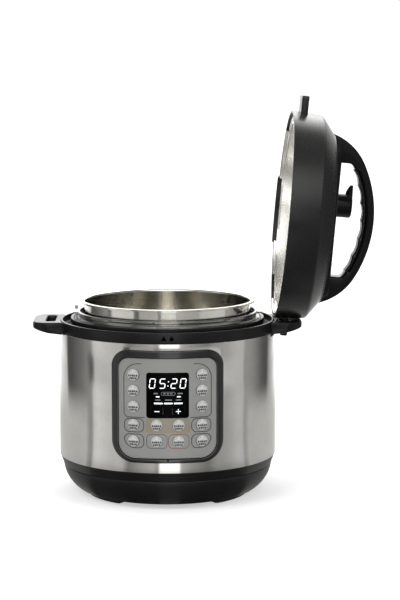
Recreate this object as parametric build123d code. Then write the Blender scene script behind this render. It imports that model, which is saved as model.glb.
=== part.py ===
from build123d import *
import os
from math import atan, cos, degrees, hypot, radians, sin, sqrt, tan

# Electric pressure cooker with its lid stored upright in the right handle's slot.
# Millimetres. +Z is up, -Y is the front, the origin is the cooker's axis on the floor.

# Clearances
press_gap = 0.05          # round a pin or screw that is pressed in
seat_gap = 0.1            # under a piece that rests on another
fit_gap = 0.3             # round a piece that slides, turns or drops in

# Steel wrap, whose height follows the pot's
pot_height = 121.5
shell_radius = 121.5
shell_wall = 0.8
shell_bottom = 44.0
shell_extra = 18.5        # how much taller the wrap is than the pot
shell_height = pot_height + shell_extra
shell_top = shell_bottom + shell_height

# Base moulding
base_wall = 2.6
base_floor = 4.0          # underside of the moulding's floor
base_floor_radius = shell_radius - 24.5
base_crease_inset = 3.7
base_crease_drop = 10.5
base_bulge = 4.4          # how far the bowl's curve stands out of its chord
spigot_height = 10.0
spigot_wall = 2.0
foot_inner_radius = base_floor_radius - 17.0
foot_outer_radius = base_floor_radius - 5.0
foot_half_angle = 17.0
foot_angles = (38.0, 142.0, 218.0, 322.0)
foot_pad_height = 2.5
foot_rim = 1.2
cover_radius = base_floor_radius - 23.0
base_opening_radius = cover_radius - 10.0
cover_thickness = 1.8
cover_slot_count = 5
cover_slot_length = cover_radius - 14.0
cover_slot_width = 4.0
cover_slot_pitch = 11.0
cover_screw_radius = cover_radius - 5.0
screw_shank = 1.6
screw_length = 9.0
screw_boss_height = 9.0
screw_boss_wall = 1.0
screw_head = 3.4
screw_head_height = 1.2

# Upper ring with its drip trough
ring_height = 12.0
ring_top = shell_top + ring_height
ring_draft = 1.5
lip_width = 2.4
trough_depth = 8.0
trough_width = 9.1
trough_floor = 2.5
inner_wall_rise = 2.5     # how far the inner wall stands over the lip
inner_wall_width = 4.0
ledge_width = 5.5
trough_outer_radius = shell_radius - ring_draft - lip_width
trough_inner_radius = trough_outer_radius - trough_width
inner_wall_inner_radius = trough_inner_radius - inner_wall_width
ledge_thickness = 2.0
spout_width = 24.0
spout_reach = 12.0
spout_wall = 1.8
drip_hole_radius = 3.0
stop_pin_radius = 1.7
stop_pin_angle = 163.0
stop_pin_rise = 8.5
stop_pin_socket = 1.5
stop_pin_edge = 0.8

# Side handles
handle_overhang = 28.5
handle_reach = shell_radius + handle_overhang
handle_width = 77.0
handle_tip_thickness = 7.5
handle_root_thickness = 14.0
handle_corner = 18.0
handle_edge = 1.6
slot_center = shell_radius + 9.2
slot_width = 10.0
slot_length = 48.0
slot_corner = 3.0

# Inner pot
pot_inset = 29.0          # from the wrap to the inside of the pot
pot_inner_radius = shell_radius - pot_inset
pot_wall = 0.8
pot_corner = 9.0
pot_rim_radius = pot_inner_radius + 5.9
pot_rim_turn = 2.2

# Liner, bayonet flange and heater
liner_inner_radius = pot_inner_radius + 3.5
liner_wall = 1.0
liner_corner = 6.0
liner_hole_radius = 30.0
liner_flange_radius = inner_wall_inner_radius - 0.5
flange_inner_radius = liner_inner_radius + 2.0
flange_body_radius = flange_inner_radius + 3.5
lobe_radius = inner_wall_inner_radius + 1.8
lobe_lift = 4.3            # clear height under a lobe for the lid's tab
lobe_thickness = 2.8
lobe_half_angle = 8.0
lobe_count = 8
flange_wall = 2.2
flange_foot = 1.2
heater_radius = pot_inner_radius - 6.5
heater_top = 96.0
heater_edge = 4.0
heater_web = 6.0
heater_depth = 10.0
heater_foot_radius = 5.0
heater_foot_circle = 40.0
terminal_radius = 3.0
terminal_circle = heater_radius - 21.0
heater_recess_radius = 50.0
heater_slope = 4.0
terminal_drop = 12.0
liner_floor = 84.0

# Sprung temperature sensor under the pot
sensor_radius = 13.5
sensor_cap = 4.0
sensor_stem_radius = 6.0
sensor_stem = 14.0
sensor_travel = 2.5
bracket_plate = 1.2
bracket_span = 48.0
bracket_width = 18.0
bracket_floor = 72.0
bracket_cup_radius = 11.0
bracket_cup_wall = 1.4
bracket_cup_height = 6.8
spring_radius = 8.0
spring_wire = 0.6
spring_turns = 5
switch_size = (24.0, 16.0, 17.0)
switch_blade = (1.0, 5.0, 8.0)

# Boards
transformer = (-45.0, -34.0, 32.0, 28.0, 25.0)   # x, y, width, depth, height of each
relay = (10.0, 14.0, 28.0, 14.0, 16.0)
terminal_block = (-50.0, 20.0, 28.0, 12.0, 12.0)
capacitor_radius = 8.0
capacitor_height = 22.0
capacitor_places = ((6.0, -24.0), (26.0, -24.0))
post_height = 11.5
post_radius = 4.0
post_opening_gap = 6.0           # from the posts' circle in to the base's opening
post_circle = base_opening_radius + post_opening_gap
post_x = 0.8 * post_circle
post_y = 0.6 * post_circle
power_board_edge = 6.0           # from a post to the board's edge
power_board_size = (2 * (post_x + power_board_edge), 2 * (post_y + power_board_edge), 1.6)
control_board_width = 92.0
board_thickness = 1.6
control_board_gap = 1.0         # between its corners and the panel's back
board_post_radius = 3.0
board_post_inset = (3.5, 8.0)
connector_size = (28.0, 7.0, 12.0)
connector_drop = 14.0
tact_switch = 6.0
tact_height = 3.5
display_block = (40.0, 20.0)

# Curved control panel
panel_lift = 2.6                # above the middle of the wrap
panel_center = shell_bottom + shell_height / 2 + panel_lift
bezel_margin = 9.0              # of steel above and below the bezel
bezel_width = 120.0
bezel_height = shell_height - 2 * bezel_margin
bezel_top_corner = 18.0
bezel_bottom_corner = 24.0
bezel_proud = 3.8
bezel_edge = 1.2
overlay_drop = 1.8
overlay_margin = 7.0
overlay_center = panel_center - overlay_drop
overlay_width = 105.0
overlay_height = bezel_height - 2 * overlay_margin
overlay_top_corner = 11.0
overlay_bottom_corner = 17.0
overlay_thickness = 1.2
panel_body_margin = 4.0         # how much smaller the body behind the bezel is
panel_body_depth = 4.9
window_lift = 12.7
window_center = panel_center + window_lift
window_width = 45.0
window_height = 48.6
window_corner = 3.0
window_thickness = 1.6
key_radius = 6.5
key_rise = 2.3
key_edge = 0.8
key_stem_radius = 1.7
key_travel = 0.4
key_float = 0.6                 # gap between the panel body and the underside of a key
outer_column = 36.5
inner_column = 11.7
side_rows = (34.4, 17.4, 0.2)   # from the panel's middle
full_rows = (-19.6, -37.3)
adjust_column = 11.2
adjust_row = -4.4
control_board_margin = 12.0
control_board_height = bezel_height - 2 * control_board_margin
adjust_size = (13.0, 9.0)
adjust_corner = 2.0

# Power inlet in the back of the base
inlet_height = 25.0
inlet_opening = (24.5, 16.5)
inlet_wall = 2.4
inlet_depth = 17.0
inlet_back = 3.0
inlet_flange = (36.0, 27.0)
inlet_flange_thickness = 1.6
inlet_face = shell_radius - 0.1
inlet_boss = (42.0, 33.0, 26.0)
blade_size = (2.0, 4.0)
blade_reach = 14.0
blade_pitch = 7.0

# Condensation collector on its runners at the back
cup_width = 51.0
cup_depth = 16.5
cup_height = 49.5
cup_wall = 1.5
cup_corner = 5.0
cup_back = shell_radius + 3.7
cup_drop = 12.4            # below the top of the wrap
cup_top = shell_top - cup_drop
cup_flange = 4.2
runner_wall = 1.8
runner_length = 13.0
bracket_back_height = 20.0
bracket_back_thickness = 2.2

# Lid, in its own frame: z = 0 is the rim's plane, +Z points out of its top
lid_lean = 5.05                 # how far the stored lid leans out from upright
lid_drop_gap = 0.5              # between the rim and the handle's top
lid_radius = trough_outer_radius - 1.1
band_height = 34.5
band_draft = 2.8
band_edge = 2.5
bevel_inset = 20.0
bevel_radius = lid_radius - bevel_inset
bevel_top = 47.5
disc_inset = 22.0
disc_radius = lid_radius - disc_inset
disc_step = 2.0
dome_top = 54.0
cover_wall = 2.6
skirt_tab_angle = 19.0
skirt_tab_drop = 3.0
fin_thickness = 7.8
fin_low = 8.9
fin_reach = lid_radius + 17.5
fin_width = 40.0
fin_corner = 3.0

# Steel inner lid
steel_radius = lid_radius - 5.3
steel_wall = 1.5
steel_low = 3.0
steel_top = 31.5
steel_panel_inset = 29.2
steel_panel_radius = steel_radius - steel_panel_inset
steel_panel_rise = 4.0
steel_panel_slope = 6.0
steel_corner = 4.0
tab_count = 8
tab_half_angle = 13.5
tab_inner_radius = steel_radius - 7.7
tab_thickness = 2.0

# Sealing ring and its rack
rack_radius = steel_radius - 24.2
rack_wall = 1.4
rack_height = 9.9
rack_flange_radius = rack_radius + 4.5
rack_flange = 1.2
seal_outer_radius = steel_radius - 3.7
seal_height = 8.2
seal_groove = 2.4
seal_lip = 1.8

# Steam release
pipe_x = -13.0
pipe_y = 38.0
pipe_radius = 5.0
pipe_bore = 1.6
pipe_top = 70.0
pipe_bottom = 25.0
pipe_collar_radius = 8.0
pipe_collar = 2.0
nut_flats = 15.0
nut_height = 4.0
shield_radius = 11.0
shield_wall = 1.0
shield_height = 12.0
shield_slots = 10
shield_slot_width = 2.2
knob_radius = 13.4
knob_low = 57.0
knob_skirt = 10.0
knob_top = 79.6
knob_neck_radius = 9.0
knob_tip_reach = 24.0
knob_tip_radius = 1.6

# Float valve
float_x = 24.0
float_y = 36.0
float_stem_radius = 3.2
float_collar_radius = 6.4
float_collar = 2.2
float_pin_radius = 4.4
float_pin_top = 52.0
float_bottom = 26.0
float_cap_radius = 6.5
float_cap = 2.6
float_travel = 4.7

# Arch handle on the lid, as a profile in the lid's XZ plane
arch_half_length = 95.0
arch_root_height = 48.3
arch_top = 102.0
arch_radius = 136.0
arch_shoulder_x = 64.0
arch_width = 26.0
arch_edge = 4.5
loop_thickness = 12.5
window_half_length = 63.5
arch_window_corner = 9.0
plate_top = 59.0
plate_width = 44.0
plate_edge = 3.0
grip_thickness = 5.5
grip_half_length = 56.0
grip_drop = 27.5                # from the arch's top to the grip's ends
grip_width = 23.0
crest_height = 1.8
hollow_count = 6
hollow_pitch = 19.6
hollow_depth = 1.9
hollow_radius = 26.0
lid_screw_x = 66.0
lid_screw_shank = 2.4
lid_screw_head = 4.5
lid_screw_head_height = 2.4
lid_screw_top = 57.0
boss_wall = 2.4

# Values that follow from the ones above
shell_inner_radius = shell_radius - shell_wall
trough_level = ring_top - trough_depth
inner_wall_top = ring_top + inner_wall_rise
liner_outer_radius = liner_inner_radius + liner_wall
ledge_top = inner_wall_top - flange_foot - liner_wall
flange_level = ledge_top + liner_wall
flange_top = flange_level + flange_foot + lobe_lift + lobe_thickness
pot_bottom = heater_top + seat_gap
pot_outer_radius = pot_inner_radius + pot_wall
pot_top = pot_bottom + pot_height
sensor_top = pot_bottom - fit_gap
base_outer_top = shell_radius - 0.3
panel_face = shell_radius + 0.9         # radius of the face that carries the overlay
panel_back = panel_face - panel_body_depth
control_board_face = sqrt((panel_back - control_board_gap) ** 2 - (control_board_width / 2) ** 2)
steel_inner_plate = steel_top - steel_wall
steel_panel_top = steel_top + steel_panel_rise
steel_panel_inner = steel_panel_top - steel_wall
fin_high = fin_low + fin_thickness
handle_top = ring_top
arch_center = arch_top - arch_radius
dome_radius = (disc_radius**2 + (dome_top - bevel_top - disc_step) ** 2) / (
    2 * (dome_top - bevel_top - disc_step)
)


# Shared shapes

def cylinder(radius, low, high, x=0, y=0):
    return Pos(x, y, low) * extrude(Circle(radius), high - low)


def tube(outer, inner, low, high, x=0, y=0):
    return Pos(x, y, low) * extrude(Circle(outer) - Circle(inner), high - low)


def block(x_low, x_high, y_low, y_high, z_low, z_high):
    size = (x_high - x_low, y_high - y_low, z_high - z_low)
    return Pos(x_low, y_low, z_low) * Box(*size, align=(Align.MIN, Align.MIN, Align.MIN))


def turned(*points):
    """Solid turned about Z from a closed outline of (radius, height) corners."""
    return revolve(make_face(Plane.XZ * Polyline(*points, close=True)), Axis.Z)


def wedge(center_angle, half_angle, reach, low, high):
    """Sector of a disc, as a prism with its point on the axis."""
    corners = [
        (reach * cos(radians(a)), reach * sin(radians(a)))
        for a in (center_angle - half_angle, center_angle + half_angle)
    ]
    return Pos(0, 0, low) * extrude(make_face(Polyline((0, 0), *corners, close=True)), high - low)


def arc_block(inner, outer, center_angle, half_angle, low, high):
    return tube(outer, inner, low, high) & wedge(center_angle, half_angle, 2 * outer, low, high)


def polar(radius, angle):
    return radius * cos(radians(angle)), radius * sin(radians(angle))


def panel_outline(width, height, center, top_corner, bottom_corner):
    """Rounded rectangle in the XZ plane, with its own radius at the top and the bottom."""
    sheet = Rectangle(width, height)
    corners = sheet.vertices().sort_by(Axis.Y)
    sheet = fillet(corners[2:], top_corner)
    corners = sheet.vertices().sort_by(Axis.Y)
    sheet = fillet([v for v in corners if v.Y < -height / 2 + 1e-6], bottom_corner)
    return Plane.XZ * Pos(0, center) * sheet


def curved_sheet(outline, inner, outer):
    """Part of a tube about Z that lies in front of the axis, cut to an outline."""
    return extrude(outline, 2 * outer) & tube(outer, inner, 0, 2 * shell_top)


def radial_place(angle, radius, height):
    """Frame on the front of the cooker: +Z points outwards and +Y points up."""
    x, y = sin(radians(angle)), -cos(radians(angle))
    frame = Plane(
        origin=(radius * x, radius * y, height),
        x_dir=(-y, x, 0),
        z_dir=(x, y, 0),
    )
    return Location(frame)


def column_angle(column):
    """Angle about Z of a key column that stands this far from the middle."""
    return degrees(atan(column / sqrt(panel_face**2 - column**2)))


# Keys

def menu_keys():
    """Column offset and height of the fourteen menu keys, row by row."""
    keys = []
    for row in side_rows:
        keys += [(c, panel_center + row) for c in (-outer_column, outer_column)]
    columns = (-outer_column, -inner_column, inner_column, outer_column)
    for row in full_rows:
        keys += [(c, panel_center + row) for c in columns]
    return keys


def adjust_keys():
    return [(c, panel_center + adjust_row) for c in (-adjust_column, adjust_column)]


def key_stem(column):
    """Stem from a key's underside to just over its tact switch."""
    angle = radians(column_angle(column))
    reach = panel_face - (control_board_face + tact_height) / cos(angle)
    lean = key_stem_radius * tan(angle)
    low = -reach + key_travel + fit_gap + abs(lean)
    return cylinder(key_stem_radius, low, key_float + key_edge)


def menu_key(column, row):
    cap = cylinder(key_radius - fit_gap, key_float, key_rise)
    cap = fillet(cap.edges().group_by(Axis.Z)[-1], key_edge)
    return radial_place(column_angle(column), panel_face, row) * (cap + key_stem(column))


def adjust_key(column, row):
    width, height = (size - 2 * fit_gap for size in adjust_size)
    cap = extrude(RectangleRounded(width, height, adjust_corner), key_rise - key_float)
    cap = Pos(0, 0, key_float) * fillet(cap.edges().group_by(Axis.Z)[-1], key_edge / 2)
    return radial_place(column_angle(column), panel_face, row) * (cap + key_stem(column))


# Control panel

def panel_bezel():
    rim_outer = shell_radius + bezel_proud
    outline = panel_outline(
        bezel_width, bezel_height, panel_center, bezel_top_corner, bezel_bottom_corner
    )
    recess = panel_outline(
        overlay_width + 2 * fit_gap, overlay_height + 2 * fit_gap, overlay_center,
        overlay_top_corner, overlay_bottom_corner,
    )
    body = panel_outline(
        bezel_width - 2 * panel_body_margin, bezel_height - 2 * panel_body_margin, panel_center,
        bezel_top_corner - panel_body_margin, bezel_bottom_corner - panel_body_margin,
    )
    rim = curved_sheet(outline, shell_radius + seat_gap, rim_outer)
    front = rim.edges().filter_by(
        lambda e: abs(hypot(e.center().X, e.center().Y) - rim_outer) < 1.0
    )
    rim = fillet(front, bezel_edge)
    bezel = rim + curved_sheet(body, panel_back, shell_radius + 2 * seat_gap)
    bezel -= curved_sheet(recess, panel_face, 2 * shell_radius)
    for column, row in menu_keys() + adjust_keys():
        hole = cylinder(key_stem_radius + fit_gap, -4 * panel_body_depth, panel_body_depth)
        bezel -= radial_place(column_angle(column), panel_face, row) * hole
    width, height = display_block
    opening = Plane.XZ * Pos(0, display_center()) * Rectangle(width + 1, height + 1)
    bezel -= extrude(opening, 2 * shell_radius)
    return bezel + board_posts()


def board_posts():
    """Two pads on each side that carry the control board behind the panel body."""
    inset_x, inset_z = board_post_inset
    x = control_board_width / 2 - inset_x
    posts = []
    for side in (-x, x):
        for level in (-1, 1):
            z = panel_center + level * (control_board_height / 2 - inset_z)
            outline = Plane.XZ * Pos(side, z) * Circle(board_post_radius)
            pad = extrude(outline, 2 * shell_radius) & cylinder(panel_back + 1, 0, 2 * shell_top)
            posts.append(pad - block(
                -shell_radius, shell_radius, -control_board_face - seat_gap, 0, 0, 2 * shell_top
            ))
    return posts


def display_center():
    return window_center + window_height / 2 - 11.3


def panel_overlay():
    outline = panel_outline(
        overlay_width, overlay_height, overlay_center, overlay_top_corner, overlay_bottom_corner
    )
    opening = Plane.XZ * Pos(0, window_center) * RectangleRounded(
        window_width + 2 * fit_gap, window_height + 2 * fit_gap, window_corner
    )
    low = panel_face + seat_gap
    sheet = curved_sheet(outline, low, low + overlay_thickness)
    sheet -= extrude(opening, 2 * shell_radius)
    for column, row in menu_keys():
        place = radial_place(column_angle(column), panel_face, row)
        sheet -= place * cylinder(key_radius, -key_rise, 2 * key_rise)
    return sheet


def display_window():
    outline = Plane.XZ * Pos(0, window_center) * RectangleRounded(
        window_width, window_height, window_corner
    )
    low = panel_face + seat_gap
    lens = curved_sheet(outline, low, low + window_thickness)
    for column, row in adjust_keys():
        hole = extrude(RectangleRounded(*adjust_size, adjust_corner), 4 * key_rise)
        lens -= radial_place(column_angle(column), panel_face - key_rise, row) * hole
    return lens


def display_module():
    """Digit block that stands on the control board and looks out through the window."""
    width, height = display_block
    reach = sqrt(panel_face**2 - (width / 2) ** 2) - fit_gap
    z = display_center()
    return block(
        -width / 2, width / 2, -reach, -control_board_face - seat_gap,
        z - height / 2, z + height / 2,
    )


def control_board():
    low = panel_center - control_board_height / 2
    half = control_board_width / 2
    back = -control_board_face + board_thickness
    board = block(-half, half, -control_board_face, back, low, low + control_board_height)
    for column, row in menu_keys() + adjust_keys():
        x = (control_board_face + tact_height) * tan(radians(column_angle(column)))
        board += block(
            x - tact_switch / 2, x + tact_switch / 2,
            -control_board_face - tact_height, -control_board_face,
            row - tact_switch / 2, row + tact_switch / 2,
        )
    width, depth, height = connector_size
    top = panel_center + height / 2 - connector_drop
    return board + block(-width / 2, width / 2, back, back + depth, top - height, top)


# Cooker body

def outer_shell():
    wrap = tube(shell_radius, shell_inner_radius, shell_bottom, shell_top)
    margin = panel_body_margin - fit_gap
    window = panel_outline(
        bezel_width - 2 * margin, bezel_height - 2 * margin, panel_center,
        bezel_top_corner - margin, bezel_bottom_corner - margin,
    )
    return wrap - extrude(window, 2 * shell_radius)


def bowl(outer_inset, low):
    """Solid bowl under the wrap: a short straight band, a crease, then a curved side."""
    top = (base_outer_top - outer_inset, shell_bottom)
    crease = (base_outer_top - base_crease_inset - outer_inset, shell_bottom - base_crease_drop)
    foot = (base_floor_radius - outer_inset, low)
    run, rise = crease[0] - foot[0], crease[1] - foot[1]
    outward = base_bulge / hypot(run, rise)
    middle = (foot[0] + run / 2 + rise * outward, foot[1] + rise / 2 - run * outward)
    edges = [
        Line((0, low), foot),
        ThreePointArc(foot, middle, crease),
        Line(crease, top),
        Line(top, (0, shell_bottom)),
        Line((0, shell_bottom), (0, low)),
    ]
    return revolve(Plane.XZ * make_face(edges), Axis.Z)


def base_housing():
    floor_top = base_floor + base_wall
    housing = bowl(0, base_floor) - bowl(base_wall, floor_top)
    spigot_outer = shell_inner_radius - seat_gap
    housing += turned(
        (base_outer_top - base_wall - 0.6, shell_bottom - 5),
        (base_outer_top - 1.2, shell_bottom - 5),
        (base_outer_top - 1.2, shell_bottom - 0.05),
        (spigot_outer, shell_bottom - 0.05),
        (spigot_outer, shell_bottom + spigot_height),
        (spigot_outer - spigot_wall, shell_bottom + spigot_height),
    )
    width, height, depth = inlet_boss
    boss = block(
        -width / 2, width / 2, inlet_face - depth, inlet_face,
        inlet_height - height / 2, inlet_height + height / 2,
    )
    boss = fillet(boss.edges().filter_by(Axis.Y), 3)
    housing += boss
    hole_width, hole_height = inlet_body_size(fit_gap)
    housing -= block(
        -hole_width / 2, hole_width / 2, inlet_face - 2 * depth, inlet_face + 1,
        inlet_height - hole_height / 2, inlet_height + hole_height / 2,
    )
    housing -= cylinder(base_opening_radius, 0, floor_top + 0.5)
    for angle in foot_angles:
        housing += arc_block(
            foot_inner_radius - foot_rim, foot_outer_radius + foot_rim, angle,
            foot_half_angle + 1, foot_pad_height, base_floor + 0.5,
        )
    for x in (-post_x, post_x):
        for y in (-post_y, post_y):
            housing += cylinder(post_radius, base_floor, floor_top + post_height, x, y)
    for angle in (0, 90, 180, 270):
        x, y = polar(cover_screw_radius, angle)
        boss = screw_head + screw_boss_wall
        housing += cylinder(boss, base_floor, floor_top + screw_boss_height, x, y)
        housing -= cylinder(screw_shank + press_gap, 0, floor_top + screw_boss_height - 1, x, y)
    return housing


def rubber_feet():
    return [
        arc_block(
            foot_inner_radius, foot_outer_radius, angle, foot_half_angle, 0, foot_pad_height
        )
        for angle in foot_angles
    ]


def bottom_cover():
    plate = cylinder(cover_radius, base_floor - cover_thickness, base_floor)
    for row in range(cover_slot_count):
        y = (row - (cover_slot_count - 1) / 2) * cover_slot_pitch
        slot = extrude(SlotOverall(cover_slot_length, cover_slot_width), 2 * base_floor)
        plate -= Pos(0, y, 0) * slot
    for angle in (0, 90, 180, 270):
        x, y = polar(cover_screw_radius, angle)
        plate -= cylinder(screw_shank + 0.4, 0, 2 * base_floor, x, y)
    return plate


def bottom_screws():
    underside = base_floor - cover_thickness
    screws = []
    for angle in (0, 90, 180, 270):
        x, y = polar(cover_screw_radius, angle)
        head = cylinder(screw_head, underside - screw_head_height, underside, x, y)
        tip = base_floor + screw_length
        screws.append(head + cylinder(screw_shank, underside, tip, x, y))
    return screws


def upper_ring():
    """Moulding on top of the wrap: lip, drip trough, inner wall and the liner's ledge."""
    spigot_outer = shell_inner_radius - seat_gap
    under = trough_level - trough_floor
    lip_outer = shell_radius - ring_draft
    ring = turned(
        (shell_radius, shell_top),
        (lip_outer, ring_top - 0.6),
        (lip_outer - 0.6, ring_top),
        (trough_outer_radius, ring_top),
        (trough_outer_radius, trough_level),
        (trough_inner_radius, trough_level),
        (trough_inner_radius, inner_wall_top),
        (inner_wall_inner_radius, inner_wall_top),
        (inner_wall_inner_radius, ledge_top),
        (inner_wall_inner_radius - ledge_width, ledge_top),
        (inner_wall_inner_radius - ledge_width, ledge_top - ledge_thickness),
        (inner_wall_inner_radius, ledge_top - ledge_thickness),
        (inner_wall_inner_radius, under),
        (spigot_outer - spigot_wall, under),
        (spigot_outer - spigot_wall, shell_top - spigot_height),
        (spigot_outer, shell_top - spigot_height),
        (spigot_outer, shell_top),
    )
    ring += spout()
    reach = shell_radius + spout_reach - spout_wall
    ring -= block(
        -spout_width / 2 + spout_wall, spout_width / 2 - spout_wall,
        trough_outer_radius - 1, reach, trough_level, ring_top - 2,
    )
    ring -= cylinder(drip_hole_radius, shell_top - 1, ring_top, 0, reach - drip_hole_radius - 1)
    x, y = pin_place()
    return ring - cylinder(
        stop_pin_radius + press_gap, trough_level - stop_pin_socket, 2 * ring_top, x, y
    )


def spout():
    """Overflow lip at the back that lets the trough drip into the collector."""
    tray = block(
        -spout_width / 2, spout_width / 2, trough_outer_radius + 0.6,
        shell_radius + spout_reach, trough_level - spout_wall, ring_top - 2,
    )
    tray = fillet(tray.edges().filter_by(Axis.Z).sort_by(Axis.Y)[-2:], 4)
    return tray - cylinder(shell_radius - ring_draft, shell_top - 2, ring_top + 2) & block(
        -spout_width, spout_width, 0, 2 * shell_radius, shell_top, ring_top
    )


def pin_place():
    return polar(trough_inner_radius + seat_gap, stop_pin_angle)


def lid_stop_pin():
    """Steel pin that stops the lid's tabs at the end of their turn."""
    x, y = pin_place()
    top = inner_wall_top + stop_pin_rise
    pin = cylinder(stop_pin_radius, trough_level - stop_pin_socket, top, x, y)
    return fillet(pin.edges().group_by(Axis.Z)[-1], stop_pin_edge)


def side_handle():
    """Right handle; the left one is its mirror image."""
    root = shell_radius - 12
    side = Plane.XZ * Polyline(
        (root, handle_top),
        (handle_reach, handle_top),
        (handle_reach, handle_top - handle_tip_thickness),
        (shell_radius + 2, handle_top - handle_root_thickness),
        (root, handle_top - handle_root_thickness),
        close=True,
    )
    body = extrude(make_face(side), handle_width / 2, both=True)
    plan = Pos((root + handle_reach) / 2, 0) * Rectangle(handle_reach - root, handle_width)
    plan = fillet(plan.vertices().sort_by(Axis.X)[2:], handle_corner)
    body &= extrude(plan, 2 * handle_top)
    body = fillet(body.edges().group_by(Axis.Z)[-1], handle_edge)
    slot = Pos(slot_center, 0) * RectangleRounded(slot_width, slot_length, slot_corner)
    body -= extrude(slot, 2 * handle_top)
    mouth = body.edges().group_by(Axis.Z)[-1].filter_by(
        lambda e: abs(e.center().Y) < slot_length / 2 + 1
        and abs(e.center().X - slot_center) < slot_width / 2 + 1
    )
    body = chamfer(mouth, 0.6)
    return body - turned(
        (0, shell_bottom),
        (shell_radius + seat_gap, shell_bottom),
        (shell_radius + seat_gap, shell_top),
        (shell_radius + seat_gap - ring_draft, ring_top),
        (shell_radius + seat_gap - ring_draft, ring_top + 10),
        (0, ring_top + 10),
    )


# Liner, heater and sensor

def cooker_liner():
    outer = cylinder(liner_outer_radius, liner_floor - liner_wall, flange_level)
    outer = fillet(outer.edges().group_by(Axis.Z)[0], liner_corner)
    inner = cylinder(liner_inner_radius, liner_floor, flange_level + 1)
    inner = fillet(inner.edges().group_by(Axis.Z)[0], liner_corner - liner_wall)
    liner = outer + cylinder(liner_flange_radius, ledge_top, flange_level) - inner
    liner -= cylinder(liner_hole_radius, 0, liner_floor + 1)
    for x in (-terminal_circle, terminal_circle):
        liner -= cylinder(terminal_radius + 1, 0, liner_floor + 1, x, 0)
    return liner


def bayonet_flange():
    """Ring on the liner whose eight lobes the lid's tabs turn under."""
    lobe_low = flange_top - lobe_thickness
    ring = turned(
        (flange_inner_radius, flange_level),
        (liner_flange_radius - 0.5, flange_level),
        (liner_flange_radius - 0.5, flange_level + flange_foot),
        (flange_inner_radius + flange_wall, flange_level + flange_foot),
        (flange_inner_radius + flange_wall, lobe_low),
        (flange_body_radius, lobe_low),
        (flange_body_radius, flange_top),
        (flange_inner_radius, flange_top),
    )
    for index in range(lobe_count):
        ring += arc_block(
            flange_inner_radius + 1, lobe_radius, index * 360 / lobe_count, lobe_half_angle,
            lobe_low, flange_top,
        )
    return ring


def heating_plate():
    web_low = heater_top - heater_web
    plate = turned(
        (sensor_radius + fit_gap + 0.1, web_low),
        (heater_recess_radius, web_low),
        (heater_recess_radius + heater_slope, heater_top - heater_depth),
        (heater_radius - 10, heater_top - heater_depth),
        (heater_radius - 10 + heater_slope, web_low),
        (heater_radius, heater_top - heater_edge),
        (heater_radius, heater_top),
        (sensor_radius + fit_gap + 0.1, heater_top),
    )
    for angle in (30, 150, 270):
        x, y = polar(heater_foot_circle, angle)
        plate += cylinder(heater_foot_radius, liner_floor, web_low + 1, x, y)
    for x in (-terminal_circle, terminal_circle):
        low = heater_top - heater_depth - terminal_drop
        plate += cylinder(terminal_radius, low, heater_top - heater_depth + 1, x, 0)
    return plate


def temperature_sensor():
    cap = cylinder(sensor_radius, sensor_top - sensor_cap, sensor_top)
    cap = fillet(cap.edges().group_by(Axis.Z)[-1], 1.0)
    low = sensor_top - sensor_cap - sensor_stem
    return cap + cylinder(sensor_stem_radius, low, sensor_top - sensor_cap)


def sensor_spring():
    low = bracket_floor + bracket_plate + spring_wire + seat_gap
    high = sensor_top - sensor_cap - spring_wire - seat_gap
    path = Helix((high - low) / spring_turns, high - low, spring_radius)
    section = Plane(origin=path @ 0, z_dir=path % 0) * Circle(spring_wire)
    return Pos(0, 0, low) * sweep(section, path=path, is_frenet=True)


def sensor_bracket():
    """Strap that hangs from the heating plate and carries the sensor's spring."""
    half, side = bracket_span / 2, bracket_width / 2
    web_low = heater_top - heater_web
    top = bracket_floor + bracket_plate
    strap = block(-half, half, -side, side, bracket_floor, web_low - seat_gap)
    strap -= block(-half + bracket_plate, half - bracket_plate, -side, side, top, web_low)
    return strap + tube(
        bracket_cup_radius, bracket_cup_radius - bracket_cup_wall, top - 0.5,
        top + bracket_cup_height,
    ) & block(-half, half, -bracket_span, bracket_span, bracket_floor, web_low)


def pressure_switch():
    width, depth, height = switch_size
    top = bracket_floor - seat_gap
    body = block(-width / 2, width / 2, -depth / 2, depth / 2, top - height, top)
    body = fillet(body.edges().filter_by(Axis.Z), 2)
    blade_x, blade_y, blade_z = switch_blade
    for x in (-width / 4, width / 4):
        body += block(
            x - blade_x / 2, x + blade_x / 2, -blade_y / 2, blade_y / 2,
            top - height - blade_z, top - height + 1,
        )
    return body


def power_board():
    """Board with its transformer, relay, capacitors and terminal block."""
    width, depth, thickness = power_board_size
    low = base_floor + base_wall + post_height
    top = low + thickness
    board = block(-width / 2, width / 2, -depth / 2, depth / 2, low, top)
    for x, y, length, breadth, height in (transformer, relay, terminal_block):
        board += block(x, x + length, y, y + breadth, top, top + height)
    for x, y in capacitor_places:
        board += cylinder(capacitor_radius, top, top + capacitor_height, x, y)
    return board


# Power inlet

def inlet_body_size(gap):
    return tuple(size + 2 * (inlet_wall + gap) for size in inlet_opening)


def power_inlet():
    width, height = inlet_body_size(0)
    back = inlet_face - inlet_depth - inlet_back
    body = block(
        -width / 2, width / 2, back, inlet_face + seat_gap,
        inlet_height - height / 2, inlet_height + height / 2,
    )
    place = Plane(origin=(0, inlet_face + seat_gap, inlet_height), x_dir=(1, 0, 0), z_dir=(0, 1, 0))
    body += extrude(place * RectangleRounded(*inlet_flange, 4), inlet_flange_thickness)
    front = inlet_face + seat_gap + inlet_flange_thickness
    mouth = Plane(origin=(0, front, inlet_height), x_dir=(1, 0, 0), z_dir=(0, -1, 0))
    body -= extrude(mouth * RectangleRounded(*inlet_opening, 2.5), inlet_depth)
    for x in blade_columns():
        body -= blade(x, 0.05)
    return body


def blade_columns():
    return (-blade_pitch, 0, blade_pitch)


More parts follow.
